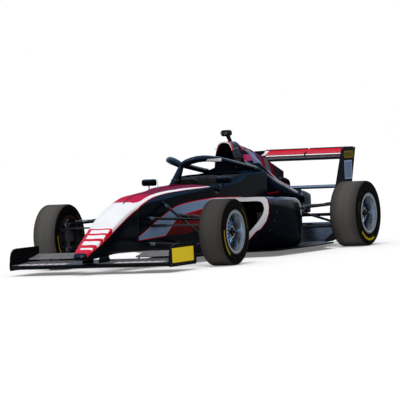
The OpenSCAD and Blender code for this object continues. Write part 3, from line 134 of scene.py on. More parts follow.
sky = bpy.data.worlds.new("soft_sky")
scene.world = sky
sky.use_nodes = True
tree = sky.node_tree
dome = tree.nodes["Background"]
direction = add_node(tree, "ShaderNodeTexCoord").outputs["Generated"]
height = add_node(tree, "ShaderNodeSeparateXYZ", direction).outputs["Z"]
ramp = add_node(tree, "ShaderNodeValToRGB", height)
for stop, (position, colour) in zip(ramp.color_ramp.elements, SKY_STOPS):
    stop.position = position
    stop.color = colour
shown = seen_or_mirrored(tree)
tint = add_node(tree, "ShaderNodeMix", shown, data_type="RGBA")
link(tree, (1, 1, 1, 1), tint.inputs[6])
link(tree, ramp.outputs["Color"], tint.inputs[7])
link(tree, tint.outputs[2], dome.inputs["Color"])
level = add_node(tree, "ShaderNodeMapRange", shown, None, None, SKY_LIGHT, 1.0)
link(tree, level.outputs[0], dome.inputs["Strength"])

sun = bpy.data.lights.new("broad_lamp", "SUN")
sun.energy = math.pi * LAMP_LIGHT
sun.angle = LAMP_SPREAD
lamp = bpy.data.objects.new("broad_lamp", sun)
lamp.rotation_euler = LAMP_FROM.to_track_quat("Z", "Y").to_euler()
scene.collection.objects.link(lamp)
print("light: dome", SKY_LIGHT, "lamp", LAMP_LIGHT)

# %% Lay the floor
FLOOR_REACH, FLOOR_DROP = 60.0, 0.0005
FLOOR_TONES, FLOOR_LIFT = (0.84, 0.88), 0.16
sheet = bpy.data.meshes.new("pale_floor")
corners = [(a * FLOOR_REACH, b * FLOOR_REACH, 0) for a, b in ((-1, -1), (1, -1), (1, 1), (-1, 1))]
sheet.from_pydata(corners, [], [(0, 1, 2, 3)])
floor = bpy.data.objects.new("pale_floor", sheet)
floor.location.z = -FLOOR_DROP
scene.collection.objects.link(floor)
ground = bpy.data.materials.new("pale_floor")
ground.use_nodes = True
tree = ground.node_tree
chalk = tree.nodes["Principled BSDF"].inputs
chalk["Roughness"].default_value = 0.9
chalk["Specular IOR Level"].default_value = 0.1
grain = add_node(tree, "ShaderNodeTexNoise", None, None, 3.0).outputs[0]
tone = add_node(tree, "ShaderNodeMapRange", grain, None, None, *FLOOR_TONES)
link(tree, tone.outputs[0], chalk["Base Color"])
chalk["Emission Color"].default_value = (1, 1, 1, 1)
lift = add_node(tree, "ShaderNodeMath", seen_or_mirrored(tree), FLOOR_LIFT, operation="MULTIPLY")
link(tree, lift.outputs[0], chalk["Emission Strength"])
sheet.materials.append(ground)
print("floor:", 2 * FLOOR_REACH, "m wide")

# %% [markdown]
# ## Smooth panels
# A moulded panel is smooth, but the frame brings it as small flat facets.
# A modifier joins the facets and shades them round, and leaves an edge sharp where two faces meet steeply.
# It is made from geometry nodes, so the solid's own points stay as they are.

# %% Shade the solids smooth by angle
SHARP_ANGLE, WELD = 32, 0.00002


def smoothing(angle):
    """A geometry node group that rounds the shading of faces that meet at less than angle, in degrees."""
    group = bpy.data.node_groups.new(f"smooth_panel_{angle}", "GeometryNodeTree")
    for way in ("INPUT", "OUTPUT"):
        group.interface.new_socket("Geometry", in_out=way, socket_type="NodeSocketGeometry")
    add, join = group.nodes.new, group.links.new
    start, end = add("NodeGroupInput"), add("NodeGroupOutput")
    plain = add("GeometryNodeRemoveAttribute")
    plain.inputs["Name"].default_value = "custom_normal"
    weld = add("GeometryNodeMergeByDistance")
    weld.inputs["Distance"].default_value = WELD
    faces, edges, creases = (add("GeometryNodeSetShadeSmooth") for _ in range(3))
    edges.domain = creases.domain = "EDGE"
    creases.inputs["Shade Smooth"].default_value = False
    bend = add("GeometryNodeInputMeshEdgeAngle")
    sharp = add("FunctionNodeCompare")
    sharp.operation = "GREATER_THAN"
    sharp.inputs["B"].default_value = math.radians(angle)
    join(bend.outputs["Unsigned Angle"], sharp.inputs["A"])
    join(sharp.outputs["Result"], creases.inputs["Selection"])
    chain = [start, plain, weld, faces, edges, creases, end]
    for before, after in zip(chain, chain[1:]):
        join(before.outputs[0], after.inputs[0])
    return group


panel_smoothing = smoothing(SHARP_ANGLE)
for node in nodes.values():
    node.modifiers.new("smooth_panel", "NODES").node_group = panel_smoothing
print("smoothed", len(nodes), "solids")

# %% [markdown]
# ## A paint shop of nodes
# Each finish knows a point's place on the car, because the frame's solids keep their places in their meshes.
# So a stripe can be written as a painter would mark it: between two lines, along the car and over the floor.
# The class below keeps such marks short: lines, bands, layers of colour, fine grain and a little relief.

# %% Mix finishes from nodes
NIGHT, WHITE, SILVER = (0.0022, 0.003, 0.0058), (0.82, 0.82, 0.85), (0.14, 0.21, 0.33)
RED, PAINTED_SKY_SHEEN, DUST = (0.58, 0.004, 0.016), (0.007, 0.017, 0.034), (0.16, 0.14, 0.12)
GLOSS = {"Specular_Tint": (0.55, 0.72, 1.0, 1.0)}
FULL_SLOPE = 0.8


class Finish:
    """One procedural finish, with the point's place along, across and above at hand."""

    def __init__(self, name, rough=0.35, metal=0.0, **gloss):
        self.material = bpy.data.materials.new(name)
        self.material.use_nodes = True
        self.tree = self.material.node_tree
        self.shader = self.tree.nodes["Principled BSDF"]
        self.shader.inputs["Roughness"].default_value = rough
        self.shader.inputs["Metallic"].default_value = metal
        for socket, value in gloss.items():
            self.shader.inputs[socket.replace("_", " ")].default_value = value
        self.place = self.node("ShaderNodeTexCoord").outputs["Object"]
        self.x, self.y, self.z = self.node("ShaderNodeSeparateXYZ", self.place).outputs
        self.across = self.calc("ABSOLUTE", self.y)

    def node(self, kind, *values, **settings):
        """A node of this finish, with its first inputs joined or set, in order."""
        return add_node(self.tree, kind, *values, **settings)

    def calc(self, operation, *values):
        """Arithmetic on sockets and numbers."""
        return self.node("ShaderNodeMath", *values, operation=operation).outputs[0]

    def gap(self, one, other):
        """How far two values are apart."""
        return self.calc("ABSOLUTE", self.calc("SUBTRACT", one, other))

    def wave(self, value, rate):
        """A ripple between -1 and 1 that runs with a value."""
        return self.calc("SINE", self.calc("MULTIPLY", value, rate))

    def spread(self, value, low, high, to_low=0.0, to_high=1.0):
        """value from low to high, stretched to another range and held at its ends."""
        return self.node("ShaderNodeMapRange", value, low, high, to_low, to_high).outputs[0]

    def above(self, value, line, soft=0.002):
        """1 where value is over the line, with a narrow soft edge."""
        return self.spread(self.calc("SUBTRACT", value, line), -soft / 2, soft / 2)

    def between(self, value, low, high, soft=0.002):
        """1 where value is between two lines."""
        return self.both(self.above(value, low, soft), self.above(high, value, soft))

    def both(self, *masks):
        """Where all masks hold."""
        total = masks[0]
        for mask in masks[1:]:
            total = self.calc("MULTIPLY", total, mask)
        return total

    def line(self, along, points):
        """A drawn line: its height beside each place along, smooth through its points."""
        points = sorted(points)
        first, last = points[0][0], points[-1][0]
        low, high = min(p[1] for p in points), max(p[1] for p in points)
        curve = self.node("ShaderNodeFloatCurve", 1.0, self.spread(along, first, last))
        drawn = curve.mapping.curves[0].points
        while len(drawn) < len(points):
            drawn.new(0.5, 0.5)
        for knot, (a, b) in zip(drawn, points):
            knot.location = ((a - first) / (last - first), (b - low) / max(high - low, 1e-6))
        curve.mapping.update()
        return self.spread(curve.outputs[0], 0.0, 1.0, low, high)

    def layer(self, under, over, mask, blend="MIX"):
        """One colour laid over another, or added to it, where the mask is 1."""
        mix = self.node("ShaderNodeMix", data_type="RGBA", blend_type=blend)
        for value, socket in ((mask, mix.inputs[0]), (under, mix.inputs[6]), (over, mix.inputs[7])):
            if isinstance(value, tuple):
                value = (*value, 1.0)
            link(self.tree, value, socket)
        return mix.outputs[2]

    def noise(self, scale, detail=3.0, stretch=(1, 1, 1)):
        """Fine uneven grain, from 0 to 1."""
        place = self.node("ShaderNodeMapping", self.place, None, None, stretch).outputs[0]
        return self.node("ShaderNodeTexNoise", place, None, scale, detail).outputs[0]

    def clouds(self, under, over, scale, low, high, most=1.0):
        """One colour over another in soft uneven clouds."""
        return self.layer(under, over, self.spread(self.noise(scale), low, high, 0.0, most))

    def colour(self, colour):
        """Sets the base colour."""
        link(self.tree, colour, self.shader.inputs["Base Color"])

    def rough(self, grain, low, high):
        """Lets the gloss vary with the grain."""
        link(self.tree, self.spread(grain, 0.3, 0.7, low, high), self.shader.inputs["Roughness"])

    def relief(self, height, depth):
        """Raises the surface by depth metres where height is 1."""
        bump = self.node("ShaderNodeBump")
        bump.inputs["Distance"].default_value = depth
        link(self.tree, height, bump.inputs["Height"])
        link(self.tree, bump.outputs[0], self.shader.inputs["Normal"])

    def slope(self, axis):
        """How far a face looks along an axis of the car, from -1 to 1."""
        normal = self.node("ShaderNodeNewGeometry").outputs["Normal"]
        return self.node("ShaderNodeSeparateXYZ", normal).outputs[axis]

    def polish(self, upright, skyward, start=0.02):
        """Dull gloss on upright faces, rising from a starting slope to a full one on skyward faces."""
        gloss = self.spread(self.slope(2), start, FULL_SLOPE, upright, skyward)
        link(self.tree, gloss, self.shader.inputs["Specular IOR Level"])

    def lacquer(self, colour, low=0.1, high=0.2, upright=0.002, skyward=0.16, start=0.02):
        """Sprayed lacquer: a painted blue sky sheen on upward faces, faint clouds, dust low down, and a fine
        ripple.
        """
        # Painted sky sheen: a blue tone is added to the colour of faces that look upward.
        colour = self.layer(colour, PAINTED_SKY_SHEEN, self.spread(self.slope(2), 0.12, 0.6), "ADD")
        cloud = self.noise(9.0, 4.0)
        deep = self.layer(colour, (0.0, 0.0, 0.0), self.spread(cloud, 0.35, 0.75, 0.0, 0.06))
        specks = self.spread(self.noise(23.0, 5.0), 0.5, 0.8, 0.0, 0.04)
        self.colour(self.layer(deep, DUST, self.both(self.spread(self.z, 0.3, 0.06), specks)))
        self.rough(cloud, low, high)
        self.relief(self.noise(700.0, 1.0), 0.00002)
        self.polish(upright, skyward, start)


def dress(finish, *names):
    """Gives CAD solids their finish."""
    for name in names:
        for slot in nodes[name].material_slots:
            slot.material = finish.material


print("paint shop ready")

# %% [markdown]
# ## Nose paint
# The nose cone is one glossy moulding. Its top is white with a red tip, and plain white bars cross the red.
# A thin red line closes the white along each shoulder, and the flanks and the very tip are night blue.
# The shoulder falls along the nose, so its height is drawn as a line along the car, and colours follow it.

# %% Paint the nose cone
SHOULDER = [(2.28, 0.12), (2.231, 0.163), (2.078, 0.233), (1.928, 0.302), (1.819, 0.356), (1.756, 0.385),
            (1.611, 0.45), (1.449, 0.508)]
BARS = [(1.942, 1.987, 0.076), (2.012, 2.057, 0.073), (2.091, 2.141, 0.067), (2.181, 2.204, 0.05)]
BAR_MIDDLE, BAR_BOW, SHOULDER_LINE = 0.022, 3.0, 0.008
RED_FROM, TIP_FROM, FIELD_TO, FIELD_SIDE = 1.925, 2.246, 1.519, 0.104
HATCH_SIDE, HATCH_HALF, HATCH_FRONT = 0.034, 0.0065, 1.545
NOSE_JOINT = (1.47, 1.472)
FIELD_RED, HATCH, JOINT_GREY = (0.5, 0.003, 0.04), (0.01, 0.006, 0.004), (0.02, 0.02, 0.025)
nose = Finish("nose_paint", **GLOSS)
shoulder = nose.line(nose.x, SHOULDER)
top = nose.above(nose.z, shoulder)
paint = nose.layer(NIGHT, RED, nose.above(nose.z, nose.calc("SUBTRACT", shoulder, SHOULDER_LINE)))
paint = nose.layer(paint, WHITE, top)
bow = nose.calc("MULTIPLY", nose.calc("MULTIPLY", nose.y, nose.y), BAR_BOW)
bowed = nose.calc("ADD", nose.x, bow)
paint = nose.layer(paint, RED, nose.both(top, nose.above(bowed, RED_FROM)))
off_middle = nose.gap(nose.y, BAR_MIDDLE)
for start, end, half in BARS:
    bar = nose.both(nose.between(bowed, start, end), nose.above(half, off_middle), top)
    paint = nose.layer(paint, WHITE, bar)
field = nose.both(nose.above(FIELD_TO, bowed), nose.above(FIELD_SIDE, nose.across), top)
paint = nose.layer(paint, FIELD_RED, field)
paint = nose.layer(paint, NIGHT, nose.above(nose.x, TIP_FROM, 0.004))
seam = nose.both(nose.above(HATCH_HALF, nose.gap(nose.y, HATCH_SIDE)), nose.above(HATCH_FRONT, nose.x))
paint = nose.layer(paint, HATCH, seam)
joint = nose.between(nose.x, *NOSE_JOINT, 0.001)
paint = nose.layer(paint, JOINT_GREY, nose.calc("MULTIPLY", joint, 0.6))
nose.lacquer(paint, upright=0.01, skyward=0.02)
dress(nose, "nose_cone")
print("nose: red tip of", len(BARS), "bars")

# %% [markdown]
# ## Body side paint
# The survival cell carries most of the design: a red field before the cockpit, a white stripe on each side,
# and on the flank a silver blade over a dark red one, all edged with fine red lines.
# Each edge is a line drawn along the car, read from the photograph at a few places and smooth between them.
# Decals would need pictures, and cuts in the mesh would break its smooth skin, so nodes draw the edges.

# %% Paint the survival cell
STRIPE_IN = [(1.47, 0.104), (1.431, 0.116), (1.378, 0.121), (1.3, 0.119), (1.194, 0.112), (1.051, 0.101),
             (0.909, 0.106), (0.784, 0.132), (0.686, 0.166), (0.595, 0.202), (0.494, 0.242), (0.43, 0.264)]
STRIPE_OUT = [(1.47, 0.14), (1.434, 0.142), (1.344, 0.143), (1.253, 0.143), (1.144, 0.143), (1.049, 0.147),
              (0.947, 0.156), (0.819, 0.18), (0.695, 0.208), (0.573, 0.24), (0.459, 0.273), (0.43, 0.282)]
CROWN = [(1.47, 0.501), (1.434, 0.514), (1.344, 0.54), (1.253, 0.56), (1.144, 0.576), (1.049, 0.584),
         (0.947, 0.59), (0.819, 0.596), (0.571, 0.6), (0.43, 0.604)]
COCKPIT_FRONT, STRIPE_LINE = 0.43, 0.006
PLUM, PLUM_FADE = (0.17, 0.006, 0.03), (1.34, 1.1)
cell = Finish("cell_paint", **GLOSS)
x, z, across = cell.x, cell.z, cell.across
stripe_in, stripe_out = cell.line(x, STRIPE_IN), cell.line(x, STRIPE_OUT)
on_top = cell.above(z, cell.line(x, CROWN), 0.006)
ahead = cell.both(on_top, cell.above(x, COCKPIT_FRONT))
plum = cell.layer(FIELD_RED, PLUM, cell.spread(x, *PLUM_FADE))
paint = cell.layer(NIGHT, plum, cell.both(ahead, cell.above(stripe_in, across)))
beside = cell.both(ahead, cell.above(across, stripe_in))
outer_edge = cell.calc("ADD", stripe_out, STRIPE_LINE)
paint = cell.layer(paint, RED, cell.both(beside, cell.above(outer_edge, across)))
paint = cell.layer(paint, WHITE, cell.both(beside, cell.above(stripe_out, across)))
print("cell: stripe and field before the cockpit")

# %% Paint the blades on its flanks
BLADE_TOP = [(1.507, 0.244), (1.386, 0.298), (1.198, 0.389), (1.021, 0.461), (0.937, 0.486), (0.838, 0.499),
             (0.691, 0.511), (0.558, 0.518), (0.425, 0.523), (0.221, 0.519), (-0.064, 0.51)]
BLADE_LOW = [(1.507, 0.236), (1.128, 0.252), (1.108, 0.2535), (1.094, 0.262), (1.03, 0.312), (0.961, 0.368),
             (0.85, 0.411), (0.617, 0.442), (0.45, 0.47), (0.3, 0.5), (-0.064, 0.503)]
SWOOSH_LOW = [(1.104, 0.253), (0.76, 0.258), (0.52, 0.34), (0.36, 0.44), (0.2, 0.505)]
FLANK_TOP, SWOOSH_ENDS = 0.545, (0.2, 1.104)
BLADE_ENDS, BLADE_EDGE_ENDS, EDGE_BELOW, EDGE_ABOVE = (-0.1, 1.505), (-0.1, 1.508), 0.005, 0.006
DEEP_MAROON, MAROON, MAROON_FADE = (0.06, 0.002, 0.003), (0.18, 0.003, 0.006), (0.28, 0.44)
PALE_SILVER, SILVER_FADE = (0.62, 0.64, 0.7), (0.52, 0.36)
HATCH_LINE = [(1.47, 0.033), (1.376, 0.024), (1.264, 0.013), (1.12, 0.004)]
HATCH_REAR = 1.14
flank = cell.above(FLANK_TOP, z)
swoosh_low, blade_low, blade_top = (cell.line(x, points) for points in (SWOOSH_LOW, BLADE_LOW, BLADE_TOP))
swoosh = cell.both(flank, cell.between(z, swoosh_low, blade_low), cell.between(x, *SWOOSH_ENDS))
maroon = cell.layer(DEEP_MAROON, MAROON, cell.spread(z, *MAROON_FADE))
paint = cell.layer(paint, maroon, swoosh)
edge_low, edge_top = cell.calc("SUBTRACT", blade_low, EDGE_BELOW), cell.calc("ADD", blade_top, EDGE_ABOVE)
red_edge = cell.both(flank, cell.between(z, edge_low, edge_top), cell.between(x, *BLADE_EDGE_ENDS))
paint = cell.layer(paint, RED, red_edge)
blade = cell.both(flank, cell.between(z, blade_low, blade_top), cell.between(x, *BLADE_ENDS))
paint = cell.layer(paint, cell.layer(SILVER, PALE_SILVER, cell.spread(x, *SILVER_FADE)), blade)
off_line = cell.gap(cell.y, cell.line(x, HATCH_LINE))
seam = cell.both(on_top, cell.above(HATCH_HALF, off_line, 0.001), cell.above(x, HATCH_REAR))
cell.lacquer(cell.layer(paint, HATCH, seam), upright=0.012, skyward=0.0)
dress(cell, "monocoque")
print("cell: blades on both flanks")

# %% [markdown]
# ## Engine cover paint
# The cover falls from the air inlet to the tail in one long spine, with a thin fin along its top.
# Slanted fields of maroon, red and lilac grey cross the fin and upper flank. A pale blue painted highlight
# runs along the ridge.
# A slanted field is a band of one sum, place along plus a share of the height, so two numbers bound it.

# %% Paint the engine cover
SLANT = -0.58
FIN_FOOT = [(-0.56, 0.8), (-0.673, 0.8), (-0.78, 0.79), (-0.88, 0.8), (-1.01, 0.785), (-1.191, 0.765),
            (-1.262, 0.704), (-1.371, 0.65), (-1.52, 0.62), (-1.665, 0.6)]
PATCHES = [((-0.86, -0.56), (0.897, 1.0), (0.15, 0.012, 0.05)),
           ((-0.95, -0.56), (0.862, 0.897), (0.004, 0.006, 0.008)),
           ((-0.735, -0.64), (0.806, 0.862), (0.55, 0.012, 0.08)),
           ((-0.905, -0.735), (0.806, 0.862), (0.3, 0.06, 0.17)),
           ((-1.13, -0.905), (0.78, 0.9), (0.16, 0.16, 0.34)),
           ((-1.13, -0.86), (0.88, 1.0), (0.13, 0.02, 0.085))]
FIELDS = [((-1.66, -1.58), (0.1, 0.05, 0.12)), ((-1.72, -1.66), (0.24, 0.01, 0.03)),
          ((-1.8, -1.72), (0.1, 0.11, 0.15)), ((-1.86, -1.8), (0.12, 0.01, 0.014)),
          ((-2.2, -1.86), (0.018, 0.016, 0.022))]
RIDGE = [(-0.56, 0.985), (-0.76, 0.94), (-0.954, 0.888), (-1.073, 0.831), (-1.191, 0.77), (-1.262, 0.704),
         (-1.371, 0.646), (-1.52, 0.59), (-1.7, 0.545)]
HEM = [(-0.62, 0.52), (-0.7, 0.517), (-0.958, 0.52), (-1.155, 0.508), (-1.334, 0.464), (-1.5, 0.43)]
RIDGE_PAINTED_HIGHLIGHT = (0.36, 0.44, 0.56)
RIDGE_LINES = [(RED, 0.01, -1.15), (RIDGE_PAINTED_HIGHLIGHT, 0.0065, -0.9)]
HEM_HALF, HEM_END = 0.0022, -0.98
cover = Finish("cover_paint", **GLOSS)
x, z = cover.x, cover.z
slant = cover.calc("ADD", x, cover.calc("MULTIPLY", z, SLANT))
upper = cover.above(z, cover.line(x, FIN_FOOT), 0.004)
outside = cover.above(cover.calc("MULTIPLY", cover.slope(1), cover.y), 0.002)
paint = NIGHT
for along, upward, colour in PATCHES:
    patch = cover.both(cover.between(x, *along), cover.between(z, *upward), outside)
    paint = cover.layer(paint, colour, patch)
for band, colour in FIELDS:
    paint = cover.layer(paint, colour, cover.both(upper, cover.between(slant, *band)))
ridge_off = cover.gap(z, cover.line(x, RIDGE))
# The pale line is a painted highlight along the ridge. The red line under it is paint.
for colour, half, front in RIDGE_LINES:
    paint = cover.layer(paint, colour, cover.both(cover.above(half, ridge_off), cover.above(front, x)))
hem = cover.both(cover.above(HEM_HALF, cover.gap(z, cover.line(x, HEM))), cover.above(x, HEM_END))
cover.lacquer(cover.layer(paint, RED, hem), upright=0.0, skyward=0.05, start=0.4)
dress(cover, "engine_cover")
print("cover:", len(FIELDS), "slanted fields")

# %% Paint the air inlet
MOUTH, RIM_FROM = [(0.72, -0.49), (0.9, -0.49), (0.985, -0.512)], 0.905
inlet = Finish("inlet_paint", **GLOSS)
rim = inlet.both(inlet.above(inlet.x, inlet.line(inlet.z, MOUTH)), inlet.above(inlet.z, RIM_FROM))
forward = inlet.spread(inlet.slope(0), 0.55, 0.75)
inlet.lacquer(inlet.layer(inlet.layer(NIGHT, RED, rim), WHITE, inlet.both(rim, forward)))
dress(inlet, "airbox")
print("inlet: red and white rim")

# %% [markdown]
# ## Side pod paint
# Each pod is a duct that takes air to a radiator. Its rolled lip is painted silver white, with painted shade
# darkening it towards the bottom, and edged with red.
# The flank behind it is night blue, so that the lip stands out like a bright letter D from the front.
# A line drawn over the height says where the lip ends, because its edge bends with the duct's corners.

# %% Paint the side pods
LIP_END = [(0.045, 0.07), (0.217, 0.068), (0.24, 0.035), (0.297, 0.03), (0.348, 0.042), (0.407, 0.058),
           (0.458, 0.066), (0.52, 0.066)]
LIP_LINE, LIP_FADE = 0.006, (0.4, 0.16)
LIP_WHITE, LIP_PAINTED_SHADE = (0.62, 0.63, 0.65), (0.36, 0.37, 0.38)
pod = Finish("pod_paint", **GLOSS)
lip_end = pod.line(pod.z, LIP_END)
paint = pod.layer(NIGHT, RED, pod.above(pod.x, pod.calc("SUBTRACT", lip_end, LIP_LINE)))
# Painted shade: the lip grows darker towards its bottom.
lip = pod.layer(LIP_WHITE, LIP_PAINTED_SHADE, pod.spread(pod.z, *LIP_FADE))
pod.lacquer(pod.layer(paint, lip, pod.above(pod.x, lip_end)))
dress(pod, "sidepod_left", "sidepod_right")
print("pods: white lips")

# %% [markdown]
# ## Carbon fibre
# Wings, floor and crash structure are carbon cloth in clear resin: a fine chequer of threads under gloss.
# At this size a chequer of four millimetres is enough, slightly raised, with a cloudy resin over it.
# One function weaves it, so that each wing can lay its own paint over the same cloth.

# %% Weave the carbon
DARK_TOW, LIGHT_TOW, RESIN = (0.003, 0.0032, 0.0036), (0.0075, 0.008, 0.009), (0.002, 0.002, 0.003)
TOWS_PER_METRE = 240.0
# The tail's blue is a painted sky reflection.
TAIL_PAINTED_SKY_BLUE, TAIL_FROM = (0.01, 0.024, 0.052), 0.3


def carbon(name, paint=None):
    """Carbon cloth, with paint laid on by a function if there is one."""
    finish = Finish(name, rough=0.3, **GLOSS)
    tows = finish.node("ShaderNodeTexChecker", finish.place, None, None, TOWS_PER_METRE).outputs["Fac"]
    cloth = finish.clouds(finish.layer(DARK_TOW, LIGHT_TOW, tows), RESIN, 14.0, 0.4, 0.8, 0.6)
    finish.colour(paint(finish, cloth) if paint else cloth)
    finish.rough(finish.noise(35.0), 0.22, 0.42)
    finish.relief(tows, 0.00004)
    finish.polish(0.004, 0.12)
    return finish


def tail_sky_reflection_paint(finish, cloth):
    """Painted sky reflection: blue over the tail's upper part."""
    return finish.layer(cloth, TAIL_PAINTED_SKY_BLUE, finish.above(finish.z, TAIL_FROM, 0.02))


dress(carbon("floor_carbon"), "floor_pan", "diffuser")
dress(carbon("seat_carbon"), "seat")
dress(carbon("tail_carbon", tail_sky_reflection_paint), "crash_box")
print("carbon on floor, diffuser, seat and tail")

# %% [markdown]
# ## Wing paint
# The front wing is grey on top behind a bare carbon edge, with grey flaps and a white strip with red marks.
# The rear flap is red with a white end, over a dark main plane. The end plates are black with bare fields.
# Whether a point lies on the upper face is read from the surface's own slope, so the underside stays carbon.

# %% Paint the wings
PLANE_GREY, FLAP_GREY, STRIP_WHITE = (0.11, 0.11, 0.115), (0.17, 0.17, 0.175), (0.74, 0.74, 0.76)
PLANE_EDGE, STRIP_ALONG, STRIP_ACROSS = 2.108, (2.01, 2.104), (0.215, 0.65)
MARKS_ALONG, MARK_RATE = (2.035, 2.085), 95.0
WHITE_END, PLANE_BROWN, PLANE_REAR = -0.405, (0.045, 0.022, 0.016), -2.05
# The beam wing's blue top is a painted sky reflection.
BEAM_PAINTED_SKY_BLUE = (0.02, 0.05, 0.11)


def facing_up(finish, low=0.25, high=0.45):
    """1 on faces that look upward."""
    return finish.spread(finish.slope(2), low, high)


def front_plane_paint(finish, cloth):
    """Grey behind the front edge, and a white strip with red marks."""
    upper = facing_up(finish)
    grey = finish.layer(cloth, PLANE_GREY, finish.both(upper, finish.above(PLANE_EDGE, finish.x, 0.01)))
    strip = finish.both(finish.between(finish.x, *STRIP_ALONG), finish.between(finish.across, *STRIP_ACROSS))
    strip = finish.both(upper, strip)
    marks = finish.above(finish.wave(finish.across, MARK_RATE), 0.35, 0.1)
    marks = finish.both(strip, marks, finish.between(finish.x, *MARKS_ALONG))
    return finish.layer(finish.layer(grey, STRIP_WHITE, strip), RED, marks)


def front_flap_paint(finish, cloth):
    """Grey on top."""
    return finish.layer(cloth, FLAP_GREY, facing_up(finish, 0.1, 0.3))


def rear_flap_paint(finish, cloth):
    """Red on top, white at the right end."""
    red = finish.layer(RED, WHITE, finish.above(WHITE_END, finish.y, 0.01))
    return finish.layer(cloth, red, facing_up(finish, -0.2, 0.1))


def rear_plane_paint(finish, cloth):
    """Brown on top, along the rear edge."""
    rear = finish.above(PLANE_REAR, finish.x, 0.05)
    return finish.layer(cloth, PLANE_BROWN, finish.both(facing_up(finish, 0.0, 0.3), rear))


def beam_sky_reflection_paint(finish, cloth):
    """Painted sky reflection: blue on the upward faces."""
    return finish.layer(cloth, BEAM_PAINTED_SKY_BLUE, facing_up(finish, 0.0, 0.4))


dress(carbon("front_plane_paint", front_plane_paint), "front_wing")
dress(carbon("front_flap_paint", front_flap_paint), "front_flaps")
dress(carbon("rear_flap_paint", rear_flap_paint), "rear_flap")
dress(carbon("rear_plane_paint", rear_plane_paint), "rear_wing")
dress(carbon("beam_sky_reflection_paint", beam_sky_reflection_paint), "beam_wing")
print("wings painted")

# %% Paint the end plates
YELLOW, DULL_YELLOW, PALE_BLUE = (0.66, 0.5, 0.02), (0.16, 0.11, 0.008), (0.2, 0.29, 0.46)
REAR_PLATE_FACE, FRONT_PLATE_FACE = 0.4475, 0.715
REAR_FIELDS = [(DULL_YELLOW, (-2.225, -2.015), (0.775, 0.838), 0.01),
               (PALE_BLUE, (-2.18, -2.01), (0.585, 0.752), 0.012)]
FRONT_FIELD = (1.69, 2.07), (0.075, 0.19)
INNER_SHADE = 0.55


def field_on(finish, along, upward, border=0.0):
    """A rectangle in the car's side view, smaller by a border."""
    return finish.both(finish.between(finish.x, along[0] + border, along[1] - border),
                       finish.between(finish.z, upward[0] + border, upward[1] - border))


def shaded(colour, share):
    """A colour made darker or lighter by a share."""
    return tuple(share * part for part in colour)


def rear_plate_paint(finish, cloth):
    """Bare fields on the outer faces, each with a darker middle."""
    paint = cloth
    for colour, along, upward, border in REAR_FIELDS:
        paint = finish.layer(paint, colour, field_on(finish, along, upward))
        paint = finish.layer(paint, shaded(colour, INNER_SHADE), field_on(finish, along, upward, border))
    return finish.layer(cloth, paint, finish.above(finish.across, REAR_PLATE_FACE))


def front_plate_paint(finish, cloth):
    """A yellow field on the outer faces."""
    outside = finish.above(finish.across, FRONT_PLATE_FACE)
    return finish.layer(cloth, YELLOW, finish.both(outside, field_on(finish, *FRONT_FIELD)))


dress(carbon("rear_plate_paint", rear_plate_paint), "rear_endplates")
dress(carbon("front_plate_paint", front_plate_paint), "front_endplates")
print("end plates painted")

# %% [markdown]
# ## Metals and small mouldings
# Cast cases have a fine sandy skin, and turned and drawn parts have fine lines along their length.
# The exhaust shows heat colours that run from straw to blue along the pipe, and the radiator has fins,
# painted as light strips with painted shade between them.
# Moulded parts are black with a leathery skin, as moulds for plastic are etched.
# One noise serves the bare metals: stretched it reads as drawn lines, and left even it reads as sand.

# %% Finish metals
def metal(name, colour, rough=(0.25, 0.45), grain=(1, 1, 1), cast=False):
    """Bare metal: lines along its grain, or the skin of a casting."""
    finish = Finish(name, metal=1.0)
    lines = finish.noise(120.0, 4.0, grain)
    finish.colour(finish.layer(colour, shaded(colour, 0.55), finish.spread(lines, 0.35, 0.75)))
    finish.rough(lines, *rough)
    finish.relief(lines, 0.00035 if cast else 0.00005)
    return finish


dress(metal("cast_engine", (0.3, 0.3, 0.31), (0.45, 0.65), cast=True), "engine")
dress(metal("cast_gearcase", (0.34, 0.33, 0.3), (0.45, 0.65), cast=True), "gearbox")
dress(metal("turned_column", (0.45, 0.46, 0.48), grain=(0.05, 1, 1)), "steering_column")
dress(metal("blacked_rack", (0.05, 0.05, 0.055), (0.35, 0.55), (1, 0.05, 1)), "steering_rack")
dress(metal("milled_upright", (0.22, 0.23, 0.25), (0.35, 0.55)), "upright_fl", "upright_fr", "rear_uprights")

PIPE_ENDS, PIPE_GREY, PIPE_BLUE = (-1.3, -2.12), (0.2, 0.17, 0.15, 1), (0.1, 0.16, 0.34, 1)
STRAW_AT, STRAW, SOOT = 0.55, (0.42, 0.25, 0.1, 1), (0.05, 0.045, 0.04)
pipe = Finish("heat_steel", metal=1.0, rough=0.3)
heat = pipe.node("ShaderNodeValToRGB", pipe.spread(pipe.x, *PIPE_ENDS))
for stop, tone in zip(heat.color_ramp.elements, (PIPE_GREY, PIPE_BLUE)):
    stop.color = tone
heat.color_ramp.elements.new(STRAW_AT).color = STRAW
pipe.colour(pipe.clouds(heat.outputs["Color"], SOOT, 30.0, 0.4, 0.8, 0.6))
pipe.rough(pipe.noise(60.0), 0.25, 0.5)
dress(pipe, "exhaust")

FINS_RATE, FIN_GAP_PAINTED_SHADE, FIN_BRIGHT = 55.0, (0.05, 0.05, 0.055), (0.4, 0.41, 0.43)
core = Finish("radiator_core", metal=1.0, rough=0.5)
fins = core.node("ShaderNodeTexWave", core.place, FINS_RATE).outputs["Fac"]
# Painted shade: dark lines between the fins.
core.colour(core.layer(FIN_GAP_PAINTED_SHADE, FIN_BRIGHT, fins))
core.rough(core.noise(40.0), 0.35, 0.6)
core.relief(fins, 0.002)
dress(core, "radiators")
print("metals done")

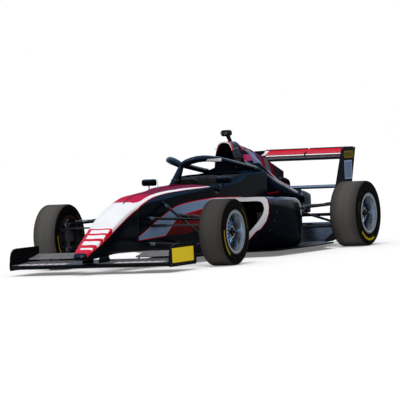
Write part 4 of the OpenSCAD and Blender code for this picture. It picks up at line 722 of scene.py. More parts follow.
# %% Finish the plank and the mouldings
PLY_LIGHT, PLY_DARK, ALONG_PLIES = (0.23, 0.15, 0.08), (0.12, 0.07, 0.035), (0.05, 1, 6)
plank = Finish("plank_wood", rough=0.6)
plies = plank.noise(60.0, 5.0, ALONG_PLIES)
plank.colour(plank.layer(PLY_LIGHT, PLY_DARK, plank.spread(plies, 0.35, 0.7)))
plank.rough(plies, 0.5, 0.75)
plank.relief(plies, 0.0003)
dress(plank, "skid_plank")


def moulding(name, colour, rough=(0.35, 0.5), grain=300.0):
    """Moulded or painted black, with a fine leathery skin."""
    finish = Finish(name)
    skin = finish.noise(grain, 3.0)
    finish.colour(finish.clouds(colour, tuple(1.8 * part + 0.004 for part in colour), 18.0, 0.4, 0.8))
    finish.rough(skin, *rough)
    finish.relief(skin, 0.00015)
    finish.polish(0.01, 0.12)
    return finish


dress(moulding("camera_black", (0.003, 0.003, 0.004)), "camera_pod")
dress(moulding("control_black", (0.012, 0.012, 0.013)), "steering_wheel")
print("plank and mouldings done")

# %% [markdown]
# ## Arms, halo, mirrors and rain light
# The suspension arms are black tubes whose ends are bare steel, close to the cell and at the uprights.
# The halo and the mirrors are sprayed black, and the halo has one bare white field for a mark on each side.
# The rain light's cover is red plastic moulded with many small prisms, with painted shade darkening the
# creases between them.
# Bare ends could be pieces of their own, but a mask across the car gives the same edge without a seam.

# %% Finish the arms, the halo, the mirrors and the rain light
ARM_BLACK, ARM_WORN, ARM_STEEL = (0.004, 0.004, 0.005), (0.014, 0.013, 0.012), (0.3, 0.27, 0.24)
HALO_FIELD, HALO_SIDE, FIELD_WHITE = ((0.125, 0.276), (0.826, 0.851)), 0.17, (0.7, 0.7, 0.73)
HALO_BLACK, SHELL_BLACK = (0.0022, 0.003, 0.005), (0.003, 0.003, 0.004)
LENS_RED, PRISM_CREASE_PAINTED_SHADE, PRISMS_PER_METRE = (0.45, 0.01, 0.012), (0.1, 0.002, 0.004), 110.0


def arm_finish(name, near, far):
    """Black tube, bare steel from the cell to near metres out, and again beyond far."""
    finish = Finish(name, rough=0.35)
    inner, outer = finish.above(near, finish.across, 0.01), finish.above(finish.across, far, 0.01)
    ends = finish.calc("MAXIMUM", inner, outer)
    finish.colour(finish.layer(finish.clouds(ARM_BLACK, ARM_WORN, 25.0, 0.4, 0.75), ARM_STEEL, ends))
    link(finish.tree, ends, finish.shader.inputs["Metallic"])
    finish.rough(finish.noise(70.0, 4.0, (1, 0.1, 1)), 0.28, 0.45)
    finish.relief(finish.noise(300.0), 0.00005)
    finish.polish(0.01, 0.2)
    return finish


dress(arm_finish("front_arm_black", 0.2, 0.64), "front_wishbones")
dress(arm_finish("rear_arm_black", 0.19, 0.6), "rear_wishbones")

hoop = Finish("halo_paint", **GLOSS)
patch = hoop.both(field_on(hoop, *HALO_FIELD), hoop.above(hoop.across, HALO_SIDE))
hoop.lacquer(hoop.layer(HALO_BLACK, FIELD_WHITE, patch), 0.16, 0.28)
dress(hoop, "halo")

shell = Finish("mirror_shell", **GLOSS)
shell.lacquer(SHELL_BLACK, 0.2, 0.35)
dress(shell, "mirrors")

lamp_lens = Finish("rain_light_lens", rough=0.15, Transmission_Weight=0.3)
prisms = lamp_lens.node("ShaderNodeTexVoronoi", lamp_lens.place, None, PRISMS_PER_METRE).outputs["Distance"]
# Painted shade: the lens darkens towards the edges between prisms.
lamp_lens.colour(lamp_lens.layer(LENS_RED, PRISM_CREASE_PAINTED_SHADE, lamp_lens.spread(prisms, 0.2, 0.6)))
lamp_lens.relief(prisms, 0.0015)
dress(lamp_lens, "rain_light")
print("arms, halo, mirrors and rain light done")

# %% [markdown]
# ## Tyres
# A slick has no pattern: its tread is scrubbed to a brownish grey with fine rings, and its walls are black.
# Plain yellow arcs on each wall tell the compound, and the thin arc is dimmed as painted shade. All is
# written as distance from the axle and angle.
# Each wheel gets a finish of its own, because its axle is in its own place.

# %% Finish the tyres
WHEELS = {"fl": (1.19, 0.759, 0.27), "fr": (1.19, -0.759, 0.27),
          "rl": (-1.56, 0.733, 0.2875), "rr": (-1.56, -0.733, 0.2875)}
BROAD_ARC, THIN_ARC = {"f": (-55, 6), "r": (-112, -42)}, {"f": (125, 178), "r": (4, 26)}
BROAD_BAND, THIN_BAND, THIN_ARC_PAINTED_SHADE_SHARE = (0.066, 0.046), (0.056, 0.048), 0.25
FRESH_GREY, WORN_GREY, GRIT_GREY = (0.048, 0.046, 0.043), (0.064, 0.06, 0.056), (0.025, 0.024, 0.023)
SHOULDER_BLACK, ARC_YELLOW = (0.014, 0.013, 0.013), (0.33, 0.22, 0.009)
WALL_BLACK, WALL_WORN = (0.0022, 0.0021, 0.0022), (0.005, 0.0046, 0.0044)
RING_RATE, RIB_RATE = 90.0, 1500.0
TREAD_EDGE, RIBS_EDGE, SHOULDER_FADE = (0.01, 0.002), 0.02, (0.04, 0.13)


def round_axle(finish, axle):
    """Distance from the axle, place along it from the wheel's middle, and angle about it."""
    place = finish.x, finish.y, finish.z
    along, off, upward = (finish.calc("SUBTRACT", *pair) for pair in zip(place, axle))
    squares = [finish.calc("MULTIPLY", value, value) for value in (along, upward)]
    return finish.calc("SQRT", finish.calc("ADD", *squares)), off, finish.calc("ARCTAN2", upward, along)


def tyre_finish(corner):
    """Rubber of one tyre, which stands on the ground, so that its axle's height is its radius."""
    axle, end = WHEELS[corner], corner[0]
    outer = axle[2]
    finish = Finish("slick_rubber_" + corner, rough=0.7, Specular_IOR_Level=0.006)
    radius, off, angle = round_axle(finish, axle)
    ring_place = finish.node("ShaderNodeCombineXYZ", finish.calc("MULTIPLY", off, RING_RATE), radius, 0.0)
    rings = finish.node("ShaderNodeTexNoise", ring_place.outputs[0], None, 1.0, 3.0).outputs[0]
    grit = finish.noise(160.0, 4.0)
    # Painted light: every tread but the near front one is made lighter, as those treads are lit more.
    tread_painted_light = 1.0 if corner == "fl" else 1.6
    tread = finish.layer(shaded(FRESH_GREY, tread_painted_light), shaded(WORN_GREY, tread_painted_light), finish.spread(rings, 0.2, 0.8))
    tread = finish.layer(tread, GRIT_GREY, finish.spread(grit, 0.5, 0.75, 0.0, 0.4))
    shoulder = finish.spread(finish.calc("ABSOLUTE", off), *SHOULDER_FADE, 0.0, 0.75)
    tread = finish.layer(tread, SHOULDER_BLACK, shoulder)
    wall = finish.clouds(WALL_BLACK, WALL_WORN, 20.0, 0.35, 0.7)
    rubber = finish.layer(wall, tread, finish.spread(radius, *(outer - edge for edge in TREAD_EDGE)))
    broad, thin = (finish.both(finish.between(radius, outer - band[0], outer - band[1]),
                               finish.between(angle, *map(math.radians, arc[end]), 0.02))
                   for band, arc in ((BROAD_BAND, BROAD_ARC), (THIN_BAND, THIN_ARC)))
    # Painted shade: the thin arc is laid on at only a quarter of its yellow.
    arcs = finish.calc("MAXIMUM", broad, finish.calc("MULTIPLY", thin, THIN_ARC_PAINTED_SHADE_SHARE))
    arcs = finish.both(arcs, finish.spread(grit, 0.3, 0.45, 0.7, 1.0))
    finish.colour(finish.layer(rubber, ARC_YELLOW, arcs))
    finish.rough(grit, 0.55, 0.8)
    ribs = finish.spread(finish.wave(radius, RIB_RATE), -1.0, 1.0)
    wall_ribs = finish.both(ribs, finish.above(outer - RIBS_EDGE, radius))
    finish.relief(finish.calc("ADD", wall_ribs, finish.calc("MULTIPLY", grit, 0.8)), 0.0006)
    return finish


for corner in WHEELS:
    dress(tyre_finish(corner), "tyre_" + corner)
print("tyres:", len(WHEELS))

# %% [markdown]
# ## Rims, discs and hubs
# The rims are polished alloy that mirrors the sky, with turned lines round the lip. The spokes carry a
# painted blue sky reflection, and painted shade darkens the barrel inward and the inside.
# The brake disc behind the spokes is ground iron, drilled in rings whose holes are painted black as shade,
# round a dark bell.
# Turned lines are too fine to model, so a wave that runs with the radius raises them as relief.

# %% Finish the rims and the hubs
RIM_HALF = {"f": 0.105, "r": 0.131}
SPOKE_PAINTED_SKY_BLUE, BARREL_PAINTED_SHADE, BRIGHT_BARREL = (0.13, 0.25, 0.42), (0.05, 0.08, 0.12), (0.78, 0.82, 0.87)
INSIDE_PAINTED_SHADE, FACE_GREY, BEAD_BLACK = (0.04, 0.045, 0.05), (0.12, 0.155, 0.2), (0.01, 0.01, 0.011)
CENTRE_GREY, RIM_DUST = (0.03, 0.03, 0.035), (0.22, 0.22, 0.23)
BARREL_RADIUS, BEAD_RADIUS, CENTRE_RADIUS = 0.156, 0.169, 0.048
BARREL_FADE, INSIDE_DEPTH, FACE_DEPTH, BEAD_DEPTH = (0.085, 0.018), 0.1, 0.003, 0.011
RIM_RATE, DISC_RATE = 4200.0, 5200.0
HOLE_ROWS, HOLE_RINGS, HOLES_FROM, BELL_RADIUS = 36.0, 420.0, 0.085, 0.07
IRON_DARK, IRON_LIGHT = (0.035, 0.034, 0.033), (0.055, 0.053, 0.05)
HOLE_PAINTED_SHADE, BELL_BLACK = (0.02, 0.02, 0.02), (0.015, 0.015, 0.017)


def rim_finish(corner):
    """Polished alloy: spokes with a painted blue sky reflection, a barrel whose painted shade darkens it
    inward, and a black bead seat.
    """
    axle, half = WHEELS[corner], RIM_HALF[corner[0]]
    finish = Finish("polished_rim_" + corner, metal=0.75, rough=0.25)
    radius, off, _ = round_axle(finish, axle)
    outside = finish.calc("MULTIPLY", off, math.copysign(1, axle[1]))
    # Painted shade: the barrel darkens from its outer lip inward.
    brighter = finish.spread(outside, *(half - depth for depth in BARREL_FADE))
    barrel = finish.layer(BARREL_PAINTED_SHADE, BRIGHT_BARREL, brighter)
    # Painted sky reflection: the spokes are blue.
    alloy = finish.layer(SPOKE_PAINTED_SKY_BLUE, barrel, finish.above(radius, BARREL_RADIUS))
    # Painted shade: deeper inside, the rim is dark grey.
    alloy = finish.layer(alloy, INSIDE_PAINTED_SHADE, finish.above(half - INSIDE_DEPTH, outside, 0.01))
    alloy = finish.layer(alloy, FACE_GREY, finish.above(outside, half - FACE_DEPTH, 0.001))
    bead = finish.both(finish.above(radius, BEAD_RADIUS), finish.above(outside, half - BEAD_DEPTH))
    alloy = finish.layer(alloy, BEAD_BLACK, bead)
    alloy = finish.layer(alloy, CENTRE_GREY, finish.above(CENTRE_RADIUS, radius, 0.004))
    dust = finish.spread(finish.noise(40.0, 5.0), 0.55, 0.85, 0.0, 0.15)
    finish.colour(finish.layer(alloy, RIM_DUST, dust))
    finish.rough(finish.noise(30.0), 0.1, 0.17)
    finish.relief(finish.spread(finish.wave(radius, RIM_RATE), -1.0, 1.0), 0.000006)
    return finish


def disc_finish(corner):
    """Ground iron with rings of drilled holes, painted black as shade, round a dark bell."""
    finish = Finish("ground_disc_" + corner, metal=1.0, rough=0.4)
    radius, _, angle = round_axle(finish, WHEELS[corner])
    lathe = finish.spread(finish.wave(radius, DISC_RATE), -1.0, 1.0)
    pattern = finish.both(finish.wave(angle, HOLE_ROWS), finish.wave(radius, HOLE_RINGS))
    holes = finish.both(finish.above(pattern, 0.55, 0.1), finish.above(radius, HOLES_FROM))
    # Painted shade: the holes are black.
    iron = finish.layer(finish.layer(IRON_DARK, IRON_LIGHT, lathe), HOLE_PAINTED_SHADE, holes)
    finish.colour(finish.layer(BELL_BLACK, iron, finish.above(radius, BELL_RADIUS, 0.004)))
    finish.rough(finish.noise(50.0), 0.3, 0.5)
    finish.relief(finish.calc("SUBTRACT", lathe, finish.calc("MULTIPLY", holes, 8.0)), 0.0001)
    return finish


for corner in WHEELS:
    dress(rim_finish(corner), "rim_" + corner)
    dress(disc_finish(corner), "hub_" + corner)
print("rims and discs:", len(WHEELS))

# %% [markdown]
# ## Head rest
# The head rest is a horseshoe of foam under a sewn cover, pressed between the cell's walls.
# A pad swells between its seams, as blown cloth does: the CAD block is remeshed fine and blown up a little.
# It starts slightly smaller than the space it has, so that the swelling fills that space and no more.

# %% Blow up the head rest
PAD_SHRINK, PAD_VOXEL, PAD_SWELL, PAD_PRESSURE, PAD_FRAMES = 0.01, 0.006, 0.007, 4.0, 20
PAD_SOFTENINGS = 4


def ride_all(body, *pieces):
    """Puts pieces into the scene and lets them move with a CAD body."""
    for piece in pieces:
        if piece.name not in scene.collection.objects:
            scene.collection.objects.link(piece)
        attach(piece, body)


def shrink(mesh, depth):
    """Draws a block's skin in by a depth."""
    shape = bmesh.new()
    shape.from_mesh(mesh)
    bmesh.ops.remove_doubles(shape, verts=shape.verts, dist=0.0001)
    bmesh.ops.recalc_face_normals(shape, faces=shape.faces)
    shape.normal_update()
    for vert in shape.verts:
        vert.co -= vert.normal * depth * vert.calc_shell_factor()
    shape.to_mesh(mesh)
    shape.free()


def blow_up(pad, most):
    """Swells a pad like a cushion, by no more than a distance."""
    rest = [v.co.copy() for v in pad.data.vertices]
    cloth = pad.modifiers.new("swell", "CLOTH")
    cloth.settings.use_pressure = True
    cloth.settings.uniform_pressure_force = PAD_PRESSURE
    cloth.settings.effector_weights.gravity = 0.0
    for step in range(1, PAD_FRAMES + 1):
        scene.frame_set(step)
    blown = pad.evaluated_get(bpy.context.evaluated_depsgraph_get()).to_mesh()
    moved = [v.co.copy() for v in blown.vertices]
    pad.modifiers.remove(cloth)
    for vert, old, new in zip(pad.data.vertices, rest, moved):
        swell = new - old
        vert.co = old + swell * min(1.0, most / max(swell.length, 1e-9))
    scene.frame_set(1)


def pad_from(node, name):
    """A swollen pad in the space of a CAD block."""
    mesh = nodes[node].data.copy()
    pad = bpy.data.objects.new(name, mesh)
    scene.collection.objects.link(pad)
    shrink(mesh, PAD_SHRINK)
    mesh.remesh_voxel_size = PAD_VOXEL
    bpy.context.view_layer.objects.active = pad
    bpy.ops.object.voxel_remesh()
    blow_up(pad, PAD_SWELL)
    soften = bmesh.new()
    soften.from_mesh(pad.data)
    every_axis = {"use_axis_x": True, "use_axis_y": True, "use_axis_z": True}
    for _ in range(PAD_SOFTENINGS):
        bmesh.ops.smooth_vert(soften, verts=soften.verts, factor=0.5, **every_axis)
    soften.to_mesh(pad.data)
    soften.free()
    for face in pad.data.polygons:
        face.use_smooth = True
    return pad


head_pad = pad_from("headrest", "head_pad")
print("head pad:", len(head_pad.data.vertices), "points")

# %% Cover the head rest
SEAM_HEIGHT, SEAM_HALF, STITCHES, STITCH_RATE = 0.688, 0.0016, (0.0045, 0.006), 900.0
HIDE_DARK, HIDE_LIGHT = (0.01, 0.01, 0.012), (0.019, 0.019, 0.021)
SEAM_BLACK, THREAD_GREY = (0.004, 0.004, 0.004), (0.16, 0.16, 0.17)
hide = Finish("pad_cover", rough=0.6, Specular_IOR_Level=0.08)
leather = hide.node("ShaderNodeTexVoronoi", hide.place, None, 420.0).outputs["Distance"]
off_seam = hide.gap(hide.z, SEAM_HEIGHT)
seam = hide.above(SEAM_HALF, off_seam, 0.001)
thread = hide.above(hide.wave(hide.calc("ADD", hide.x, hide.y), STITCH_RATE), 0.0, 0.3)
stitch = hide.both(hide.between(off_seam, *STITCHES, 0.001), thread)
skin = hide.layer(HIDE_DARK, HIDE_LIGHT, hide.spread(leather, 0.1, 0.5))
hide.colour(hide.layer(hide.layer(skin, SEAM_BLACK, seam), THREAD_GREY, stitch))
hide.rough(leather, 0.5, 0.7)
hide.relief(hide.calc("SUBTRACT", leather, hide.calc("MULTIPLY", seam, 3.0)), 0.0007)
head_pad.data.materials.clear()
head_pad.data.materials.append(hide.material)
ride_all("chassis", head_pad)
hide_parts("headrest")
print("head rest covered")

# %% [markdown]
# ## Tools for the small pieces
# Small pieces are made as a workshop makes them: turned on a lathe, swept along a path or cut from plate.
# Each tool adds faces to one open mesh, so a piece can be put together from several of them.
# A probe finds the car's skin under a point, so that screws and straps lie on it.

# %% Set up the lathe, the sweep and the plate cutter
def turned(shape, outline, centre, axis, steps=20):
    """Turns an outline of (radius, place along) round an axis."""
    axis = Vector(axis).normalized()
    side = axis.orthogonal().normalized()
    spokes = [Quaternion(axis, math.tau * i / steps) @ side for i in range(steps)]
    rings = []
    for radius, along in outline:
        middle = Vector(centre) + axis * along
        around = spokes if radius > 1e-6 else [Vector()]
        rings.append([shape.verts.new(middle + spoke * radius) for spoke in around])
    for low, high in zip(rings, rings[1:]):
        for i in range(steps):
            j = (i + 1) % steps
            corners = low[i % len(low)], low[j % len(low)], high[j % len(high)], high[i % len(high)]
            shape.faces.new(list(dict.fromkeys(corners)))


def swept(shape, path, section, faces_to=(0, 0, 1)):
    """Carries a flat outline along a path; its top looks to faces_to, one direction or one per point."""
    path = [Vector(point) for point in path]
    rings = []
    for i, point in enumerate(path):
        ahead = (path[min(i + 1, len(path) - 1)] - path[max(i - 1, 0)]).normalized()
        side = ahead.cross(Vector(faces_to[i] if isinstance(faces_to, list) else faces_to)).normalized()
        upper = side.cross(ahead)
        rings.append([shape.verts.new(point + side * a + upper * b) for a, b in section])
    count = len(section)
    for low, high in zip(rings, rings[1:]):
        for i in range(count):
            shape.faces.new((low[i], low[(i + 1) % count], high[(i + 1) % count], high[i]))
    shape.faces.new(rings[0][::-1])
    shape.faces.new(rings[-1])


def plate(shape, outline, thick, place, rounding):
    """A plate of an outline, set up by a matrix, with its edges rounded."""
    low, high = ([shape.verts.new(place @ Vector((a, b, level))) for a, b in outline]
                 for level in (-thick / 2, thick / 2))
    made = [shape.faces.new(low[::-1]), shape.faces.new(high)]
    for i in range(len(outline)):
        j = (i + 1) % len(outline)
        shape.faces.new((low[i], low[j], high[j], high[i]))
    edges = [edge for face in made for edge in face.edges]
    bmesh.ops.bevel(shape, geom=edges, offset=rounding, segments=2, profile=0.5, affect="EDGES")


def rounded(width, height, radius, steps=4):
    """A rectangle with rounded corners, as an outline."""
    points = []
    for corner, (a, b) in enumerate(((1, 1), (-1, 1), (-1, -1), (1, -1))):
        middle = Vector((a * (width / 2 - radius), b * (height / 2 - radius)))
        for i in range(steps + 1):
            turn = math.pi / 2 * (corner + i / steps)
            points.append(tuple(middle + Vector((math.cos(turn), math.sin(turn))) * radius))
    return points


def disc_section(radius, steps=10):
    """A round outline."""
    turns = [math.tau * i / steps for i in range(steps)]
    return [(radius * math.cos(turn), radius * math.sin(turn)) for turn in turns]


print("tools ready: lathe, sweep and plate cutter")

# %% Set up the probe and the bench
DOWN, SIDES = (0, 0, -1), (1, -1)
skins = {}


def probe(name, start, direction):
    """The place where a line from start meets a solid, and the direction straight out of it."""
    if name not in skins:
        mesh = nodes[name].data
        points, faces = [v.co for v in mesh.vertices], [p.vertices for p in mesh.polygons]
        skins[name] = BVHTree.FromPolygons(points, faces)
    direction = Vector(direction).normalized()
    point, normal, _, _ = skins[name].ray_cast(Vector(start), direction)
    return point, -normal if normal.dot(direction) > 0 else normal


def built(name, finish, body, shape):
    """Closes an open mesh as a named piece, with its finish and slot, that moves with a body."""
    bmesh.ops.remove_doubles(shape, verts=shape.verts, dist=0.000002)
    bmesh.ops.recalc_face_normals(shape, faces=shape.faces)
    mesh = bpy.data.meshes.new(name)
    shape.to_mesh(mesh)
    shape.free()
    mesh.materials.append(finish.material)
    made = bpy.data.objects.new(name, mesh)
    made.modifiers.new("smooth_panel", "NODES").node_group = panel_smoothing
    ride_all(body, made)
    print(name, len(mesh.polygons), "faces on", body)


bright_steel = metal("bright_steel", (0.4, 0.38, 0.35), (0.25, 0.42))
dark_steel = metal("dark_steel", (0.1, 0.1, 0.11), (0.3, 0.5))
black_rubber = moulding("black_rubber", (0.01, 0.01, 0.01), (0.55, 0.75))
print("bench ready: two steels and rubber")

# %% [markdown]
# ## Wheel nuts, valves and weights
# One big nut holds each wheel, so that it can be changed in seconds. A ring of pegs takes the torque.
# The nut is turned from black anodised alloy with a hollow for the gun's socket. The pegs are steel pins.
# A valve stands inside the deep lip, and strips of weight glued into the barrel balance the wheel.
# Most of them are turned from a short outline, because that keeps their edges crisp with few faces.

# %% Turn the wheel nuts
NUT = [(0, 0.002), (0.0235, 0.002), (0.0235, 0.011), (0.0205, 0.015), (0.014, 0.015), (0.012, 0.008),
       (0, 0.008)]
LOCK = [(0.029, -0.0115), (0.034, -0.0115), (0.034, -0.008), (0.029, -0.008), (0.029, -0.0115)]
PEG = [(0, -0.004), (0.0045, -0.004), (0.0045, 0.003), (0.003, 0.005), (0, 0.005)]
VALVE = [(0, -0.012), (0.0048, -0.012), (0.0048, 0.004), (0.0038, 0.005), (0.0038, 0.016), (0.0028, 0.018),
         (0, 0.018)]
CENTRE_END = {"f": 0.071, "r": 0.085}
PEGS, PEG_CIRCLE = 6, 0.0425
VALVE_CIRCLE, VALVE_TURN, VALVE_DEPTH = 0.1565, math.radians(75), 0.03
WEIGHT_CIRCLE, WEIGHT_DEPTH, WEIGHT_SECTION = 0.1585, 0.036, rounded(0.016, 0.004, 0.001, 1)
WEIGHT_ARC = [math.radians(200 + 2.5 * i) for i in range(9)]
anodised = moulding("anodised_black", (0.008, 0.008, 0.01), (0.22, 0.35), 500.0)


def spoke(turn):
    """The direction out from an axle at an angle about it."""
    return Vector((math.cos(turn), 0, math.sin(turn)))


for corner, axle in WHEELS.items():
    outward = Vector((0, math.copysign(1, axle[1]), 0))
    half = RIM_HALF[corner[0]]
    face = Vector(axle) + outward * CENTRE_END[corner[0]]
    nut = bmesh.new()
    turned(nut, NUT, face, outward, 24)
    turned(nut, LOCK, face, outward, 32)
    built("wheel_nut_" + corner, anodised, "wheel_" + corner, nut)
    pins = bmesh.new()
    for i in range(PEGS):
        turned(pins, PEG, face + spoke(math.tau * (i + 0.5) / PEGS) * PEG_CIRCLE, outward, 10)
    valve_at = Vector(axle) + spoke(VALVE_TURN) * VALVE_CIRCLE + outward * (half - VALVE_DEPTH)
    turned(pins, VALVE, valve_at, outward, 10)
    weight_middle = Vector(axle) + outward * (half - WEIGHT_DEPTH)
    strip = [weight_middle + spoke(turn) * WEIGHT_CIRCLE for turn in WEIGHT_ARC]
    swept(pins, strip, WEIGHT_SECTION, [-spoke(turn) for turn in WEIGHT_ARC])
    built("wheel_pins_" + corner, bright_steel, "wheel_" + corner, pins)

# %% [markdown]
# ## Rod ends and brake hoses
# Each suspension arm screws onto spherical joints, so that its length can be set. A nut locks the thread.
# The nuts are turned with six sides. Braided hoses follow the upper arms from the cell towards the brakes.
# A curve could make a hose, but a sweep gives a closed mesh that carries the braid and its clips.

# %% Add the rod ends and the hoses
FRONT_UPPER, FRONT_LOWER = (1.19, 0.697, 0.372), (1.19, 0.697, 0.168)
REAR_UPPER, REAR_LOWER = (-1.56, 0.671, 0.3895), (-1.56, 0.671, 0.1855)
FRONT_ARMS = [((1.342, 0.1756, 0.4051), FRONT_UPPER), ((0.962, 0.2377, 0.4051), FRONT_UPPER),
              ((1.342, 0.1619, 0.1997), FRONT_LOWER), ((0.962, 0.2211, 0.1862), FRONT_LOWER),
              ((1.152, 0.2153, 0.5075), (1.19, 0.6554, 0.168))]
REAR_ARMS = [((-1.2971, 0.17, 0.349), REAR_UPPER), ((-1.7099, 0.115, 0.3536), REAR_UPPER),
             ((-1.2971, 0.17, 0.1898), REAR_LOWER), ((-1.7099, 0.115, 0.1898), REAR_LOWER),
             ((-1.4596, 0.115, 0.3623), (-1.56, 0.6294, 0.1855))]
ROD_END = [(0, 0.002), (0.012, 0.002), (0.015, 0.008), (0.014, 0.014), (0.0115, 0.018), (0.0115, 0.024),
           (0, 0.024)]
LOCK_NUT = [(0, 0.023), (0.014, 0.023), (0.015, 0.025), (0.015, 0.03), (0.014, 0.032), (0, 0.032)]
CLIP = [(0.015, -0.004), (0.0165, -0.004), (0.0165, 0.004), (0.015, 0.004), (0.015, -0.004)]
CLIPS_AT, CLIP_LIFT = (0.3, 0.62), Vector((0, 0, 0.004))
HOSE_RADIUS, HOSE_STEPS, HOSE_LIFT, HOSE_SWAY, HOSE_RATE = 0.0042, 12, 0.0165, 0.003, 1.6
BRAID_DARK, BRAID_LIGHT, WIRES_PER_METRE = (0.06, 0.06, 0.065), (0.2, 0.2, 0.21), 700.0
ends, hoses = bmesh.new(), bmesh.new()
for side in SIDES:
    mirror = Matrix.Diagonal((1, side, 1))
    for inner, outer in FRONT_ARMS + REAR_ARMS:
        start, end = mirror @ Vector(inner), mirror @ Vector(outer)
        turned(ends, ROD_END, start, end - start, 14)
        turned(ends, LOCK_NUT, start, end - start, 6)
    for inner, outer in (FRONT_ARMS[1], REAR_ARMS[0]):
        start, end = mirror @ Vector(inner), mirror @ Vector(outer)
        path = []
        for step in range(HOSE_STEPS - 1):
            lift = HOSE_LIFT + HOSE_SWAY * math.sin(step * HOSE_RATE)
            path.append(start.lerp(end, step / HOSE_STEPS) + Vector((0, 0, lift)))
        swept(hoses, path, disc_section(HOSE_RADIUS, 8))
        for share in CLIPS_AT:
            turned(hoses, CLIP, start.lerp(end, share) + CLIP_LIFT, end - start, 14)
built("arm_rod_ends", dark_steel, "chassis", ends)
braid = Finish("hose_braid", metal=0.6, rough=0.4)
wires = braid.node("ShaderNodeTexChecker", braid.place, None, None, WIRES_PER_METRE).outputs["Fac"]
braid.colour(braid.layer(BRAID_DARK, BRAID_LIGHT, wires))
braid.relief(wires, 0.0003)
built("brake_hoses", braid, "chassis", hoses)

# %% [markdown]
# ## Steering wheel
# A racing wheel is a flat plate with two grips, a display between them, and switches within reach.
# The grips are soft rubber, the switches are turned caps, and paddles behind the plate change gear.
# All of it is placed in the wheel's own tilted plane, so that it turns with the wheel.

# %% Set up the wheel's plane
WHEEL_TILT, WHEEL_MIDDLE = math.radians(16), Vector((0.3093, 0, 0.6104))
PROBE_UP, PROBE_OUT = 0.03, 0.15
to_seat = Vector((-math.cos(WHEEL_TILT), 0, math.sin(WHEEL_TILT)))
wheel_up = Vector((math.sin(WHEEL_TILT), 0, math.cos(WHEEL_TILT)))
probe_from = WHEEL_MIDDLE + wheel_up * PROBE_UP + to_seat * PROBE_OUT
wheel_face, _ = probe("steering_wheel", probe_from, -to_seat)
wheel_origin = WHEEL_MIDDLE + to_seat * (wheel_face - WHEEL_MIDDLE).dot(to_seat)
wheel_frame = Matrix((wheel_up.cross(to_seat), wheel_up, to_seat)).transposed().to_4x4()
wheel_frame.translation = wheel_origin


def on_wheel(across, upward, out=0.0):
    """A place in the wheel's plane."""
    return wheel_frame @ Vector((across, upward, out))


def wheel_plate(shape, outline, thick, rounding, upward=0.0, out=0.0):
    """A plate that lies in the wheel's plane, or in front of it or behind it."""
    plate(shape, outline, thick, wheel_frame @ Matrix.Translation((0, upward, out)), rounding)


print("wheel face at", [round(v, 3) for v in wheel_origin])

# %% Build grips, bezels, paddles and switches
GRIP = [(0.104, -0.062), (0.117, -0.048), (0.124, -0.022), (0.125, 0.006), (0.121, 0.032), (0.111, 0.052)]
GRIP_RADIUS, GRIP_DEPTH = 0.015, -0.01
BUTTONS = [(0.07, 0.044), (0.078, 0.014), (0.072, -0.016), (0.048, -0.03), (0.02, -0.036)]
CAP = [(0, -0.002), (0.006, -0.002), (0.006, 0.006), (0.0045, 0.0075), (0, 0.0078)]
COLLAR = [(0.007, -0.002), (0.0095, -0.002), (0.009, 0.004), (0.007, 0.004), (0.007, -0.002)]
PADDLE = [(0.034, 0.0), (0.106, 0.004), (0.116, 0.034), (0.1, 0.05), (0.04, 0.022)]
PIVOT, PIVOT_AT = [(0, -0.034), (0.006, -0.034), (0.006, -0.018), (0, -0.018)], (0.044, 0.012)
PADDLE_DEPTH, DISPLAY_HEIGHT = -0.03, 0.026
BEZEL, DISPLAY = rounded(0.098, 0.06, 0.008), rounded(0.084, 0.046, 0.004)
CAP_YELLOW, CAP_RED = (0.5, 0.36, 0.02), (0.45, 0.012, 0.012)
CAP_GREEN, CAP_WORN = (0.02, 0.22, 0.05), (0.04, 0.04, 0.04)
OUTER_CAPS = 0.055
grips, bezel, caps = bmesh.new(), bmesh.new(), bmesh.new()
wheel_plate(bezel, BEZEL, thick=0.006, rounding=0.0015, upward=DISPLAY_HEIGHT, out=0.002)
for side in SIDES:
    bend = [on_wheel(side * a, b, GRIP_DEPTH) for a, b in GRIP]
    swept(grips, bend, disc_section(GRIP_RADIUS, 14), to_seat)
    for a, b in BUTTONS:
        turned(caps, CAP, on_wheel(side * a, b), to_seat, 14)
        turned(bezel, COLLAR, on_wheel(side * a, b), to_seat, 16)
    blade = [(side * a, b) for a, b in PADDLE]
    wheel_plate(bezel, blade, thick=0.003, rounding=0.0008, out=PADDLE_DEPTH)
    turned(bezel, PIVOT, on_wheel(side * PIVOT_AT[0], PIVOT_AT[1]), to_seat, 10)
built("wheel_grips", black_rubber, "steering_wheel", grips)
bezel_black = moulding("bezel_black", (0.014, 0.014, 0.015), (0.3, 0.45))
built("wheel_bezels", bezel_black, "steering_wheel", bezel)

cap_paint = Finish("switch_caps", rough=0.35)
hue = cap_paint.layer(CAP_YELLOW, CAP_RED, cap_paint.above(cap_paint.y, OUTER_CAPS))
hue = cap_paint.layer(hue, CAP_GREEN, cap_paint.above(-OUTER_CAPS, cap_paint.y))
cap_paint.colour(cap_paint.clouds(hue, CAP_WORN, 200.0, 0.5, 0.8, 0.5))
cap_paint.rough(cap_paint.noise(90.0), 0.25, 0.45)
built("wheel_switches", cap_paint, "steering_wheel", caps)

# %% Glaze the display
SCREEN_DARK, SCREEN_LIGHT = (0.01, 0.012, 0.016), (0.02, 0.024, 0.03)
glass = bmesh.new()
wheel_plate(glass, DISPLAY, thick=0.004, rounding=0.001, upward=DISPLAY_HEIGHT, out=0.0045)
panel = Finish("display_glass", rough=0.08, Coat_Weight=0.6)
panel.colour(panel.layer(SCREEN_DARK, SCREEN_LIGHT, panel.noise(60.0)))
panel.rough(panel.noise(30.0), 0.05, 0.14)
built("wheel_display", panel, "steering_wheel", glass)

